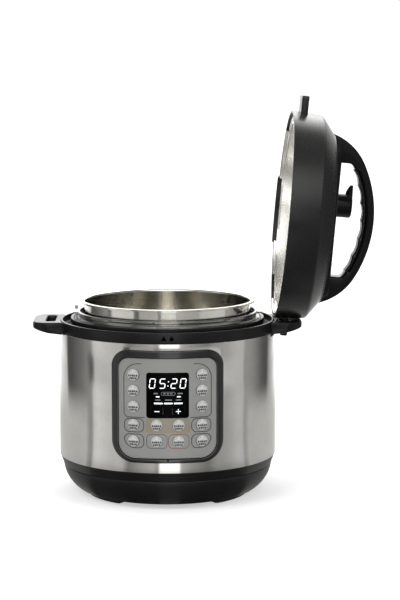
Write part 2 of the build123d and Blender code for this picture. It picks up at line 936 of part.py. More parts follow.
def blade(x, gap):
    width, height = (size / 2 + gap for size in blade_size)
    floor = inlet_face + seat_gap + inlet_flange_thickness - inlet_depth
    lift = 1.5 if x == 0 else -1.5
    return block(
        x - width, x + width, floor - inlet_back - 6 - gap, floor + blade_reach,
        inlet_height + lift - height, inlet_height + lift + height,
    )


def inlet_pins():
    return [blade(x, 0) for x in blade_columns()]


# Condensation collector

def condensation_collector():
    low = cup_top - cup_height
    outline = Pos(0, cup_back + cup_depth / 2) * Rectangle(cup_width, cup_depth)
    outer = extrude(fillet(outline.vertices().sort_by(Axis.Y)[2:], cup_corner), cup_height)
    outer = fillet(outer.edges().group_by(Axis.Z)[0], 2.5)
    inner_plan = Pos(0, cup_back + cup_depth / 2) * Rectangle(
        cup_width - 2 * cup_wall, cup_depth - 2 * cup_wall
    )
    inner_plan = fillet(inner_plan.vertices().sort_by(Axis.Y)[2:], cup_corner - cup_wall)
    inner = Pos(0, 0, cup_wall) * extrude(inner_plan, cup_height)
    rail = cup_width / 2 + cup_flange
    flange = block(
        -rail, rail, cup_back, cup_back + runner_length - 1, cup_height - cup_wall, cup_height
    )
    return Pos(0, 0, low) * (outer + flange - inner)


def collector_bracket():
    """Curved plate on the wrap with two C-shaped runners for the cup's flanges."""
    inner_x = cup_width / 2 + fit_gap
    outer_x = cup_width / 2 + cup_flange + fit_gap + runner_wall
    low = cup_top - cup_wall - fit_gap - runner_wall
    high = cup_top + fit_gap + runner_wall
    end = cup_back + runner_length
    bracket = tube(
        shell_radius + seat_gap + bracket_back_thickness, shell_radius + seat_gap,
        high - bracket_back_height, high,
    ) & block(-outer_x, outer_x, 0, 2 * shell_radius, 0, shell_top)
    for side in (-1, 1):
        x_low, x_high = sorted((side * inner_x, side * outer_x))
        runner = block(x_low, x_high, shell_radius - 12, end, low, high)
        slot_low, slot_high = sorted((side * (inner_x - 1), side * (outer_x - runner_wall)))
        runner -= block(
            slot_low, slot_high, 0, 2 * shell_radius,
            cup_top - cup_wall - fit_gap, cup_top + fit_gap,
        )
        bracket += runner - cylinder(shell_radius + seat_gap, 0, shell_top)
    cup_zone = block(
        -cup_width / 2 - cup_flange - fit_gap, cup_width / 2 + cup_flange + fit_gap,
        cup_back - fit_gap, 2 * shell_radius, cup_top - cup_wall - fit_gap, cup_top + fit_gap,
    )
    return bracket - cup_zone


# Inner pot

def inner_pot():
    shell = turned(
        (0, pot_bottom),
        (pot_outer_radius, pot_bottom),
        (pot_outer_radius, pot_top - pot_wall),
        (pot_rim_radius - pot_wall, pot_top - pot_wall),
        (pot_rim_radius - pot_wall, pot_top - pot_rim_turn),
        (pot_rim_radius, pot_top - pot_rim_turn),
        (pot_rim_radius, pot_top),
        (0, pot_top),
    )
    base_edge = shell.edges().group_by(Axis.Z)[0]
    shell = fillet(base_edge, pot_corner)
    inner = cylinder(pot_inner_radius, pot_bottom + pot_wall, pot_top + 1)
    inner = fillet(inner.edges().group_by(Axis.Z)[0], pot_corner - pot_wall)
    pot = shell - inner
    mouth = pot.edges().group_by(Axis.Z)[-1]
    inner_edge = mouth.sort_by(SortBy.LENGTH)[0]
    pot = fillet(inner_edge, 2.4)
    outer_edge = pot.edges().group_by(Axis.Z)[-1].sort_by(SortBy.LENGTH)[-1]
    return fillet(outer_edge, 0.6)


# Lid, in its own frame

def dome(lift):
    """Solid under the cover's outer surface, raised by lift."""
    step = bevel_top + disc_step + lift
    edges = [
        Line((0, 0), (lid_radius, 0)),
        Line((lid_radius, 0), (lid_radius - band_draft, band_height + lift)),
        Line((lid_radius - band_draft, band_height + lift), (bevel_radius, bevel_top + lift)),
        Line((bevel_radius, bevel_top + lift), (disc_radius + 0.8, bevel_top + lift)),
        Line((disc_radius + 0.8, bevel_top + lift), (disc_radius, step)),
        ThreePointArc((disc_radius, step), dome_point(disc_radius / 2, lift), (0, dome_top + lift)),
        Line((0, dome_top + lift), (0, 0)),
    ]
    return revolve(Plane.XZ * make_face(edges), Axis.Z)


def dome_point(radius, lift):
    height = dome_top - dome_radius + sqrt(dome_radius**2 - radius**2)
    return radius, height + lift


def lid_cover():
    outer = dome(0)
    crease = outer.edges().filter_by(
        lambda e: abs(e.center().Z - band_height) < 0.5 and e.length > 5 * lid_radius
    )
    outer = fillet(crease, band_edge)
    inside = turned(
        (0, -1),
        (lid_radius - cover_wall, -1),
        (lid_radius - cover_wall, 0),
        (lid_radius - cover_wall - band_draft, band_height - 1.0),
        (bevel_radius - 2, bevel_top - cover_wall),
        (0, dome_top - cover_wall - 1),
    )
    cover = outer - inside
    cover += arc_block(
        lid_radius - cover_wall, lid_radius, 90, skirt_tab_angle, -skirt_tab_drop, 0.4
    )
    for side in (-1, 1):
        cover += fin(side)
    for x in (-lid_screw_x, lid_screw_x):
        boss_radius = lid_screw_shank + 0.4 + boss_wall
        cover += cylinder(boss_radius, steel_panel_top + seat_gap, bevel_top, x, 0)
        cover -= cylinder(lid_screw_shank + 0.4, 0, dome_top + 1, x, 0)
    cover -= cylinder(pipe_radius + 1, bevel_top - 5, dome_top + 1, pipe_x, pipe_y)
    return cover - cylinder(float_pin_radius + 0.6, bevel_top - 5, dome_top + 1, float_x, float_y)


def fin(side):
    """Flat tongue that stands in a side handle's slot."""
    root = lid_radius - cover_wall - 1
    plan = Pos((root + fin_reach) / 2, 0) * Rectangle(fin_reach - root, fin_width)
    plan = fillet(plan.vertices().sort_by(Axis.X)[2:], fin_corner)
    tongue = Pos(0, 0, fin_low) * extrude(plan, fin_thickness)
    tongue -= cylinder(lid_radius - cover_wall - band_draft * fin_low / band_height, 0, dome_top)
    return tongue if side > 0 else mirror(tongue, Plane.YZ)


def steel_lid():
    """Pressed inner lid: skirt with bayonet tabs, seal channel and raised middle panel."""
    wall = steel_wall
    slope_end = steel_panel_radius - steel_panel_slope
    shell = turned(
        (steel_radius, steel_low),
        (steel_radius, steel_top),
        (steel_panel_radius, steel_top),
        (slope_end, steel_panel_top),
        (0, steel_panel_top),
        (0, steel_panel_inner),
        (slope_end - wall / 2, steel_panel_inner),
        (steel_panel_radius - wall / 2, steel_inner_plate),
        (steel_radius - wall, steel_inner_plate),
        (steel_radius - wall, steel_low),
    )
    corner = shell.edges().filter_by(
        lambda e: abs(e.center().Z - steel_top) < 0.01 and e.length > 6 * steel_radius
    )
    shell = fillet(corner, steel_corner)
    for index in range(tab_count):
        shell += arc_block(
            tab_inner_radius, steel_radius - wall / 2, index * 360 / tab_count, tab_half_angle,
            steel_low, steel_low + tab_thickness,
        )
    shell -= cylinder(pipe_radius + 0.1, 0, dome_top, pipe_x, pipe_y)
    shell -= cylinder(float_stem_radius + 0.5, 0, dome_top, float_x, float_y)
    for x in (-lid_screw_x, lid_screw_x):
        shell -= cylinder(lid_screw_shank + 0.4, 0, dome_top, x, 0)
    return shell


def seal_rack():
    top = steel_inner_plate - seat_gap
    low = top - rack_height
    return turned(
        (rack_radius, low),
        (rack_flange_radius, low),
        (rack_flange_radius, low + rack_flange),
        (rack_radius + rack_wall, low + rack_flange),
        (rack_radius + rack_wall, top),
        (rack_radius, top),
    )


def sealing_ring():
    """Silicone ring of open section, held round the rack."""
    inner = rack_radius + rack_wall + fit_gap
    top = steel_inner_plate - seat_gap
    low = top - seal_height
    middle = (inner + seal_outer_radius) / 2
    ring = turned(
        (inner, low),
        (middle, low + 0.6),
        (seal_outer_radius - seal_lip, low),
        (seal_outer_radius, low + seal_lip),
        (seal_outer_radius, top),
        (inner, top),
    )
    groove = tube(
        seal_outer_radius + 1, seal_outer_radius - seal_height, top - seal_height / 2 - seal_groove / 2,
        top - seal_height / 2 + seal_groove / 2,
    )
    return ring - groove


def steam_release_pipe():
    pipe = cylinder(pipe_radius, pipe_bottom, pipe_top, pipe_x, pipe_y)
    pipe = chamfer(pipe.edges().group_by(Axis.Z)[-1], 1.2)
    collar = cylinder(
        pipe_collar_radius, steel_panel_top, steel_panel_top + pipe_collar, pipe_x, pipe_y
    )
    return pipe + collar - cylinder(pipe_bore, 0, 2 * pipe_top, pipe_x, pipe_y)


def pipe_nut():
    nut = extrude(RegularPolygon(nut_flats / 2, 6, major_radius=False), nut_height)
    nut = Pos(pipe_x, pipe_y, steel_panel_inner - nut_height) * nut
    return nut - cylinder(pipe_radius + 0.05, 0, dome_top, pipe_x, pipe_y)


def anti_block_shield():
    """Slotted steel cap that keeps food out of the steam pipe."""
    top = steel_panel_inner - seat_gap
    low = top - shield_height
    shell = cylinder(shield_radius, low, top)
    shell = fillet(shell.edges().group_by(Axis.Z)[0], 1.5)
    shell -= cylinder(shield_radius - shield_wall, low + shield_wall, top + 1)
    for index in range(shield_slots):
        slot = block(0, 2 * shield_radius, -shield_slot_width / 2, shield_slot_width / 2,
                     low + 2.5, top - 2.5)
        shell -= Rot(0, 0, index * 360 / shield_slots) * slot
    return Pos(pipe_x, pipe_y, 0) * shell


def steam_release_handle():
    """Weighted knob that rests on the pipe; its tip points along the lid at rest."""
    skirt_top = knob_low + knob_skirt
    skirt = cylinder(knob_radius, knob_low, skirt_top)
    skirt = fillet(skirt.edges().group_by(Axis.Z)[-1], 3)
    skirt = fillet(skirt.edges().group_by(Axis.Z)[0], 1)
    neck = Circle(knob_neck_radius)
    tip_x = -(knob_tip_reach - knob_tip_radius)
    tip = Pos(tip_x, 0) * Circle(knob_tip_radius)
    lever = make_hull(neck.edges() + tip.edges())
    lever = Pos(0, 0, skirt_top - 3) * extrude(lever, knob_top - skirt_top + 3)
    scoop_radius = knob_tip_reach
    scoop = Plane.XZ * Pos(tip_x - 4, skirt_top - scoop_radius + 7) * Circle(scoop_radius)
    lever -= extrude(scoop, 2 * knob_radius, both=True) & block(
        -2 * knob_tip_reach, -knob_neck_radius, -knob_radius, knob_radius, 0, knob_top
    )
    knob = skirt + lever
    top_edges = knob.edges().filter_by(lambda e: e.center().Z > knob_top - 0.05)
    knob = fillet(top_edges, 1.4)
    knob -= cylinder(pipe_radius + fit_gap, 0, pipe_top + fit_gap)
    return Pos(pipe_x, pipe_y, 0) * knob


def float_valve():
    collar_low = steel_panel_top + fit_gap
    valve = cylinder(float_stem_radius, float_bottom, collar_low + 1)
    valve += cylinder(float_collar_radius, collar_low, collar_low + float_collar)
    pin = cylinder(float_pin_radius, collar_low + 1, float_pin_top)
    valve += fillet(pin.edges().group_by(Axis.Z)[-1], 0.8)
    return Pos(float_x, float_y, 0) * valve


def float_valve_cap():
    top = steel_panel_inner - fit_gap - float_travel
    cap = cylinder(float_cap_radius, top - float_cap, top)
    cap = fillet(cap.edges().group_by(Axis.Z)[0], 0.8)
    return Pos(float_x, float_y, 0) * (cap - cylinder(float_stem_radius + 0.05, 0, dome_top))


def arch_profile():
    """Outer outline of the arch: a flat top arc, two tangent shoulder arcs and the base line."""
    shoulder_z = arch_center + sqrt(arch_radius**2 - arch_shoulder_x**2)
    slope = (-arch_shoulder_x, -(shoulder_z - arch_center))
    right = (arch_shoulder_x, shoulder_z)
    left = (-arch_shoulder_x, shoulder_z)
    root_right = (arch_half_length, arch_root_height)
    root_left = (-arch_half_length, arch_root_height)
    tangent = (-slope[1], slope[0])
    edges = [
        ThreePointArc(left, (0, arch_top), right),
        TangentArc(right, root_right, tangent=tangent),
        Line(root_right, root_left),
        TangentArc(left, root_left, tangent=(-tangent[0], tangent[1])),
    ]
    return make_face(edges)


def arch_window():
    """Finger opening between the plate and the loop."""
    inner = Pos(0, arch_center) * Circle(arch_radius - loop_thickness)
    depth = arch_top - loop_thickness - plate_top
    opening = Pos(0, plate_top + depth / 2) * Rectangle(2 * window_half_length, depth)
    opening &= inner
    upper = opening.vertices().sort_by(Axis.Y)[2:]
    upper = [v for v in upper if abs(v.X) > window_half_length - 1]
    return fillet(upper, arch_window_corner)


def grip_band(gap):
    """Sector between the loop's core and the finger side, for the soft grip."""
    outer = arch_radius - loop_thickness + grip_thickness + gap
    inner = arch_radius - loop_thickness - crest_height - gap
    band = Pos(0, arch_center) * (Circle(outer) - Circle(inner))
    half = grip_half_length + gap
    return band & Pos(0, arch_top) * Rectangle(2 * half, 2 * grip_drop)


def lid_handle():
    loop = arch_profile() - arch_window() - grip_band(seat_gap)
    loop = extrude(Plane.XZ * loop, arch_width / 2, both=True)
    outer = loop.edges().filter_by(
        lambda e: abs(abs(e.center().Y) - arch_width / 2) < 0.01
        and e.center().Z > arch_top - loop_thickness / 2
    )
    loop = fillet(outer, arch_edge)
    plate = extrude(SlotOverall(2 * arch_half_length, plate_width), plate_top - arch_root_height)
    plate = Pos(0, 0, arch_root_height) * fillet(plate.edges().group_by(Axis.Z)[-1], plate_edge)
    handle = loop + plate - dome(seat_gap)
    for x in (-lid_screw_x, lid_screw_x):
        handle -= cylinder(lid_screw_shank + 0.05, 0, lid_screw_top + 0.1, x, 0)
    return handle


def handle_grip():
    """Grip on the finger side of the loop, with a hollow for each finger."""
    band = grip_band(0)
    middle = arch_radius - loop_thickness - crest_height
    for index in range(hollow_count):
        angle = 90 + degrees((index - (hollow_count - 1) / 2) * hollow_pitch / middle)
        x, z = polar(middle - hollow_radius + hollow_depth, angle)
        band -= Pos(x, z + arch_center) * Circle(hollow_radius)
    grip = extrude(Plane.XZ * band, grip_width / 2, both=True)
    lower = grip.edges().filter_by(
        lambda e: abs(abs(e.center().Y) - grip_width / 2) < 0.01
        and hypot(e.center().X, e.center().Z - arch_center) < middle + hollow_depth + 1
        and e.length > 5
    )
    return fillet(lower, 1.2)


def lid_screws():
    screws = []
    for x in (-lid_screw_x, lid_screw_x):
        head = cylinder(
            lid_screw_head, steel_panel_inner - lid_screw_head_height, steel_panel_inner, x, 0
        )
        head = fillet(head.edges().group_by(Axis.Z)[0], 0.8)
        screws.append(head + cylinder(lid_screw_shank, steel_panel_inner, lid_screw_top, x, 0))
    return screws


def lid_place():
    """Puts the lid's frame where the lower fin stands in the middle of the right slot."""
    lean = radians(lid_lean)
    center_z = handle_top + lid_drop_gap + lid_radius * cos(lean)
    slot_middle = handle_top - (handle_tip_thickness + handle_root_thickness) / 4
    fin_middle = (fin_low + fin_high) / 2
    along = (center_z - slot_middle - fin_middle * sin(lean)) / cos(lean)
    center_x = slot_center + along * sin(lean) - fin_middle * cos(lean)
    return Pos(center_x, 0, center_z) * Rot(0, 90 + lid_lean, 0)


def lid_pieces():
    return {
        "lid_cover": lid_cover(),
        "steel_lid": steel_lid(),
        "seal_rack": seal_rack(),
        "sealing_ring": sealing_ring(),
        "lid_handle": lid_handle(),
        "handle_grip": handle_grip(),
        "lid_screws": lid_screws(),
        "steam_release_pipe": steam_release_pipe(),
        "pipe_nut": pipe_nut(),
        "anti_block_shield": anti_block_shield(),
        "steam_release_handle": steam_release_handle(),
        "float_valve": float_valve(),
        "float_valve_cap": float_valve_cap(),
    }


def body_pieces():
    right_handle = side_handle()
    return {
        "outer_shell": outer_shell(),
        "base_housing": base_housing(),
        "bottom_cover": bottom_cover(),
        "bottom_screws": bottom_screws(),
        "rubber_feet": rubber_feet(),
        "upper_ring": upper_ring(),
        "right_handle": right_handle,
        "left_handle": mirror(right_handle, Plane.YZ),
        "lid_stop_pin": lid_stop_pin(),
        "cooker_liner": cooker_liner(),
        "bayonet_flange": bayonet_flange(),
        "heating_plate": heating_plate(),
        "temperature_sensor": temperature_sensor(),
        "sensor_spring": sensor_spring(),
        "sensor_bracket": sensor_bracket(),
        "pressure_switch": pressure_switch(),
        "power_board": power_board(),
        "control_board": control_board(),
        "display_module": display_module(),
        "panel_bezel": panel_bezel(),
        "panel_overlay": panel_overlay(),
        "display_window": display_window(),
        "power_inlet": power_inlet(),
        "inlet_pins": inlet_pins(),
        "condensation_collector": condensation_collector(),
        "collector_bracket": collector_bracket(),
        "inner_pot": inner_pot(),
    }


def key_pieces():
    pieces = {}
    for number, (column, row) in enumerate(menu_keys(), start=1):
        pieces[f"key_{number:02d}"] = menu_key(column, row)
    for name, (column, row) in zip(("key_minus", "key_plus"), adjust_keys()):
        pieces[name] = adjust_key(column, row)
    return pieces


def placed(shape, location):
    if isinstance(shape, list):
        return [location * piece for piece in shape]
    return location * shape


def write(name, shape):
    solids = shape if isinstance(shape, list) else [shape]
    export_step(Compound(children=[s for piece in solids for s in piece.solids()]), f"parts/{name}.step")


os.makedirs("parts", exist_ok=True)
pieces = body_pieces() | key_pieces()
pieces |= {name: placed(shape, lid_place()) for name, shape in lid_pieces().items()}
for name, shape in pieces.items():
    write(name, shape)
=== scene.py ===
"""Electric pressure cooker with its lid stored upright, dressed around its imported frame.

Lengths are millimetres in the cooker's frame (+Z up, -Y front, origin on the floor under
the cooker's axis) until a mesh is handed to Blender in metres.
"""

import logging
from dataclasses import dataclass
from enum import Enum
from functools import cache, reduce
from math import acos, atan2, ceil, cos, degrees, hypot, pi, radians, sin, sqrt, tan
from typing import Callable, Sequence

import bmesh
import bpy
from mathutils import Matrix, Vector
from mathutils.geometry import tessellate_polygon


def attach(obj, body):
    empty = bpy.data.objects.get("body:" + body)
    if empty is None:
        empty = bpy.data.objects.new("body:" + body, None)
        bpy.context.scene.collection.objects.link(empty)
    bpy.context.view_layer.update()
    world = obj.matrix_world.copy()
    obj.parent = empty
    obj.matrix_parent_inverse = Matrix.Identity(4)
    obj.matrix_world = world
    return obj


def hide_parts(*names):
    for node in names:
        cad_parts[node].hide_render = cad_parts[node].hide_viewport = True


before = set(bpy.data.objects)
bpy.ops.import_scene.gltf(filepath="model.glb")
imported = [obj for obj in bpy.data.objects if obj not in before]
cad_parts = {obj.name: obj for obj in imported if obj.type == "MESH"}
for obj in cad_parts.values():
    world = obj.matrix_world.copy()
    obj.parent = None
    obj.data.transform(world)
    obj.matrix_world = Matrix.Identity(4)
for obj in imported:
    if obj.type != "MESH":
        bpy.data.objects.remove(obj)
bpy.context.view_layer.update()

log = logging.getLogger("pressure_cooker")

MM = 0.001
FULL_TURN = 360.0
SIDES = (-1, 1)
Point2 = tuple[float, float]
Point3 = tuple[float, float, float]
Color = tuple[float, float, float]
Loop = list[Point2]
Node = bpy.types.Node
Socket = bpy.types.NodeSocket
Object = bpy.types.Object


class Body(str, Enum):
    """Bodies of the frame that pieces ride on; each key has a body of its own name."""

    BASE = "cooker_base"
    POT = "pot"
    LID = "lid"
    STEAM = "steam_release"
    FLOAT = "float"
    COLLECTOR = "collector"


class Kind(Enum):
    """Families of finish."""

    PLAIN = "moulded, printed or soft"
    METAL = "polished or cast"
    BRUSHED = "brushed round the axis"
    CLEAR = "clear"
    LIT = "lit"


# Outlines

def polar(radius: float, angle: float, x: float = 0.0, y: float = 0.0) -> Point2:
    """Point at a radius and an angle in degrees about a centre."""
    return x + radius * cos(radians(angle)), y + radius * sin(radians(angle))


def circle(radius: float, x: float = 0.0, y: float = 0.0, count: int = 48) -> Loop:
    """Circle as a closed loop of points."""
    return [polar(radius, FULL_TURN * k / count, x, y) for k in range(count)]


def arc(radius: float, start: float, end: float, x: float = 0.0, y: float = 0.0, step: float = 2.0) -> Loop:
    """Points along an arc between two angles in degrees."""
    count = max(2, ceil(abs(end - start) / step))
    return [polar(radius, start + (end - start) * k / count, x, y) for k in range(count + 1)]


def swing(x: float, y: float, radius: float, first: float, last: float, count: int = 2,
          step: float = FULL_TURN) -> Loop:
    """Arc about a centre that goes the short way round, with both ends.

    Args:
        x: centre of the arc.
        y: centre of the arc.
        radius: its radius.
        first: direction of its first point, in radians.
        last: direction of its last point.
        count: least number of steps.
        step: largest turn in degrees between two points.

    Returns:
        Points of the arc.
    """
    turn = (last - first + pi) % (2 * pi) - pi
    count = max(count, ceil(abs(degrees(turn)) / step))
    return [(x + radius * cos(first + turn * k / count), y + radius * sin(first + turn * k / count))
            for k in range(count + 1)]


def rounded(corners: Sequence[Point3], closed: bool = True, step: float = 9.0) -> Loop:
    """Polyline through corners, each rounded with its own radius.

    Args:
        corners: x, y and rounding radius of each corner.
        closed: whether the last corner joins the first.
        step: largest turn in degrees between two points of a rounding.

    Returns:
        Points of the rounded line.
    """
    points: Loop = []
    count = len(corners)
    for index, (x, y, radius) in enumerate(corners):
        (ax, ay, _), (bx, by, _) = corners[index - 1], corners[(index + 1) % count]
        u, v = Vector((ax - x, ay - y)).normalized(), Vector((bx - x, by - y)).normalized()
        inside = acos(max(-1.0, min(1.0, u.dot(v))))
        at_end = not closed and index in (0, count - 1)
        if radius <= 0 or at_end or inside > pi - 1e-3:
            points.append((x, y))
            continue
        reach = radius / tan(inside / 2)
        middle = Vector((x, y)) + (u + v).normalized() * radius / sin(inside / 2)
        start, end = (Vector((x, y)) + way * reach - middle for way in (u, v))
        points += swing(middle.x, middle.y, radius, atan2(start.y, start.x), atan2(end.y, end.x), step=step)
    return points


def slab(left: float, right: float, low: float, high: float, radii: Sequence[float],
         step: float = 9.0) -> Loop:
    """Rectangle between two sides and two levels, its corners rounded in turn from the lower left."""
    corners = ((left, low), (right, low), (right, high), (left, high))
    return rounded([(*corner, radius) for corner, radius in zip(corners, radii)], step=step)


def box(width: float, height: float, radius: float, x: float = 0.0, y: float = 0.0,
        lower: float | None = None, step: float = 9.0) -> Loop:
    """Rounded rectangle about a centre, with its own radius at the lower corners if given."""
    w, h, low = width / 2, height / 2, radius if lower is None else lower
    return slab(x - w, x + w, y - h, y + h, (low, low, radius, radius), step)


def area(loop: Sequence[Point2]) -> float:
    """Signed area of a closed loop."""
    return sum(a[0] * b[1] - b[0] * a[1] for a, b in zip(loop, [*loop[1:], loop[0]])) / 2


def offset(loop: Sequence[Point2], distance: float) -> Loop:
    """Closed loop moved inwards, point for point.

    Args:
        loop: the loop, either way round.
        distance: how far each side moves.

    Returns:
        The moved loop.
    """
    sign = 1.0 if area(loop) > 0 else -1.0
    moved = []
    for index, (x, y) in enumerate(loop):
        (ax, ay), (bx, by) = loop[index - 1], loop[(index + 1) % len(loop)]
        before, after = Vector((x - ax, y - ay)).normalized(), Vector((bx - x, by - y)).normalized()
        middle = before + after
        if middle.length < 1e-6:
            moved.append((x, y))
            continue
        middle.normalize()
        scale = max(0.5, middle.dot(after))
        moved.append((x - middle.y * sign * distance / scale, y + middle.x * sign * distance / scale))
    return moved


def rounding(radius: float, steps: int) -> Loop:
    """Inset and drop of each loop of a rounded edge, from the wall to the flat."""
    angles = [pi / 2 * k / steps for k in range(steps + 1)] if radius > 0 else [0.0]
    return [(radius * (1 - cos(a)), radius * (1 - sin(a))) for a in angles]


# Mesh making

class Shape:
    """A mesh under construction, in millimetres. Its methods return it, so that they chain."""

    def __init__(self) -> None:
        """Start with an empty mesh."""
        self.mesh = bmesh.new()

    def quads(self, rows: Sequence[Sequence[bmesh.types.BMVert]], tube: bool = False) -> None:
        """Join closed rows of points by faces.

        Args:
            rows: rows of equal length.
            tube: whether the last row joins the first.
        """
        following = [*rows[1:], rows[0]] if tube else rows[1:]
        for low, high in zip(rows, following):
            for i in range(len(low)):
                j = (i + 1) % len(low)
                self.mesh.faces.new((low[i], low[j], high[j], high[i]))

    def loft(self, loops: Sequence[Sequence[Point3]]) -> "Shape":
        """Skin over closed loops of equal length, with a face on each end.

        Args:
            loops: the loops, from one end to the other.

        Returns:
            The shape.
        """
        rows = [[self.mesh.verts.new(p) for p in loop] for loop in loops]
        self.quads(rows)
        self.mesh.faces.new(rows[0][::-1])
        self.mesh.faces.new(rows[-1])
        return self

    def lathe(self, profile: Sequence[Point2], segments: int = 160,
              radius: Callable[[float, float, float], float] | None = None,
              start: float = 0.0, sweep: float = FULL_TURN) -> "Shape":
        """Turn a closed outline of radius and height about Z.

        Args:
            profile: closed outline; points on the axis are merged.
            segments: steps round the turn.
            radius: optional rule giving the radius from radius, height and angle in degrees.
            start: first angle in degrees.
            sweep: turn in degrees; less than a full turn is closed with flat ends.

        Returns:
            The shape.
        """
        whole = sweep >= FULL_TURN
        rows = []
        for k in range(segments if whole else segments + 1):
            angle = start + sweep * k / segments
            reaches = [(radius(r, z, angle) if radius else r, z) for r, z in profile]
            rows.append([self.mesh.verts.new((*polar(reach, angle), z)) for reach, z in reaches])
        self.quads(rows, tube=whole)
        if not whole:
            self.mesh.faces.new(rows[0])
            self.mesh.faces.new(rows[-1][::-1])
        bmesh.ops.remove_doubles(self.mesh, verts=self.mesh.verts, dist=1e-5)
        return self

    def prism(self, outline: Sequence[Point2], low: float, high: float,
              holes: Sequence[Sequence[Point2]] = (), low_edge: float = 0.0,
              high_edge: float = 0.0, steps: int = 3) -> "Shape":
        """Plate with rounded edges, from an outline in XY to two levels of Z.

        Args:
            outline: closed outer line.
            low: lower level.
            high: upper level.
            holes: closed lines of openings right through.
            low_edge: rounding of the lower edges.
            high_edge: rounding of the upper edges.
            steps: faces across each rounding.

        Returns:
            The shape.
        """
        levels = [(inset, low + drop) for inset, drop in reversed(rounding(low_edge, steps))]
        levels += [(inset, high - drop) for inset, drop in rounding(high_edge, steps)]
        ends: list[list[list[bmesh.types.BMVert]]] = [[], []]
        for index, line in enumerate((outline, *holes)):
            loop = list(line) if area(line) > 0 else list(reversed(line))
            side = 1.0 if index == 0 else -1.0
            rows = [[self.mesh.verts.new((x, y, z)) for x, y in offset(loop, side * inset)]
                    for inset, z in levels]
            self.quads(rows)
            ends[0].append(rows[0])
            ends[1].append(rows[-1])
        for loops in ends:
            flat = [vert for loop in loops for vert in loop]
            for triple in tessellate_polygon([[v.co.copy() for v in loop] for loop in loops]):
                if len(set(triple)) == 3:
                    self.mesh.faces.new([flat[i] for i in triple])
        return self

    def place(self, matrix: Matrix) -> "Shape":
        """Move every point of the mesh by a matrix."""
        bmesh.ops.transform(self.mesh, matrix=matrix, verts=self.mesh.verts)
        return self

    def shift(self, x: float, y: float) -> "Shape":
        """Move the shape in plan."""
        return self.place(Matrix.Translation((x, y, 0)))

    def turn(self, angle: float) -> "Shape":
        """Turn the shape about Z by an angle in degrees."""
        return self.place(Matrix.Rotation(radians(angle), 4, "Z"))

    def stand(self, angle: float = 0.0) -> "Shape":
        """Tip the shape up, so that Y becomes the height, and turn it about Z in degrees."""
        return self.place(Matrix.Rotation(radians(angle), 4, "Z") @ Matrix.Rotation(radians(90), 4, "X"))

    def add(self, other: "Shape") -> "Shape":
        """Take in the faces of another shape.

        Args:
            other: the other shape, which is used up.

        Returns:
            The shape.
        """
        kept = bpy.data.meshes.new("kept")
        other.mesh.to_mesh(kept)
        self.mesh.from_mesh(kept)
        bpy.data.meshes.remove(kept)
        other.mesh.free()
        return self

    def wrap_round(self, pitch: float = 2.5) -> "Shape":
        """Bend a plate, drawn in XY with its depth as Z, round the front of the cooker.

        X stays the distance from the middle, Y becomes the height and Z the radius.

        Args:
            pitch: width of the strips that the plate is split into.

        Returns:
            The shape.
        """
        reach = max(abs(v.co.x) for v in self.mesh.verts)
        bmesh.ops.dissolve_limit(self.mesh, angle_limit=radians(0.1), verts=self.mesh.verts,
                                 edges=self.mesh.edges)
        for k in range(-int(reach / pitch), int(reach / pitch) + 1):
            everything = [*self.mesh.verts, *self.mesh.edges, *self.mesh.faces]
            bmesh.ops.bisect_plane(self.mesh, geom=everything, dist=1e-4,
                                   plane_co=(k * pitch, 0, 0), plane_no=(1, 0, 0))
        for vert in self.mesh.verts:
            x, height, radius = vert.co
            vert.co = (x, -sqrt(max(0.0, radius * radius - x * x)), height)
        return self

    def bare(self, name: str, sharp: float = 32.0) -> Object:
        """Turn the shape into an object with no body or finish yet.

        Args:
            name: name of the object.
            sharp: angle in degrees over which an edge stays crisp.

        Returns:
            The new object.
        """
        bmesh.ops.scale(self.mesh, vec=(MM, MM, MM), verts=self.mesh.verts)
        bmesh.ops.recalc_face_normals(self.mesh, faces=self.mesh.faces)
        data = bpy.data.meshes.new(name)
        self.mesh.to_mesh(data)
        self.mesh.free()
        made = bpy.data.objects.new(name, data)
        bpy.context.scene.collection.objects.link(made)
        smooth(data, sharp)
        return made

    def piece(self, name: str, finish: "Finish", *nodes: str, body: Body | str = Body.BASE,
              sharp: float = 32.0) -> None:
        """Hand the mesh to Blender as a piece that rides on a body and stands for nodes of the frame."""
        dress(self.bare(name, sharp), finish, *nodes, body=body)


def smooth(data: bpy.types.Mesh, sharp: float) -> None:
    """Shade a mesh smooth, apart from edges that turn by more than an angle in degrees."""
    data.polygons.foreach_set("use_smooth", [True] * len(data.polygons))
    data.set_sharp_from_angle(angle=radians(sharp))


def dress(made: Object, finish: "Finish", *nodes: str, body: Body | str = Body.BASE) -> None:
    """Give an object its finish and body, and log it.

    Args:
        made: the object.
        finish: its material.
        *nodes: nodes of the frame that it stands for.
        body: the body it rides on.
    """
    made.data.materials.clear()
    made.data.materials.append(finish.material())
    carrier = body.value if isinstance(body, Body) else body
    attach(made, carrier)
    if nodes:
        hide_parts(*nodes)
    log.info("%s: %d faces on %s", made.name, len(made.data.polygons), carrier)


def combine(made: Object, tool: Shape, operation: str = "DIFFERENCE", sharp: float = 32.0) -> None:
    """Cut an object with a shape, or join the shape to it.

    Args:
        made: the object.
        tool: the shape, which is used up.
        operation: DIFFERENCE to cut, UNION to join.
        sharp: angle in degrees over which an edge stays crisp.
    """
    held = tool.bare("tool")
    cutter = made.modifiers.new("combine", "BOOLEAN")
    cutter.operation = operation
    cutter.solver = "EXACT"
    cutter.object = held
    graph = bpy.context.evaluated_depsgraph_get()
    data = bpy.data.meshes.new_from_object(made.evaluated_get(graph))
    made.modifiers.clear()
    spent = (made.data, held.data)
    made.data = data
    bpy.data.objects.remove(held)
    for mesh in spent:
        bpy.data.meshes.remove(mesh)
    data.name = made.name
    smooth(data, sharp)


# Finishes

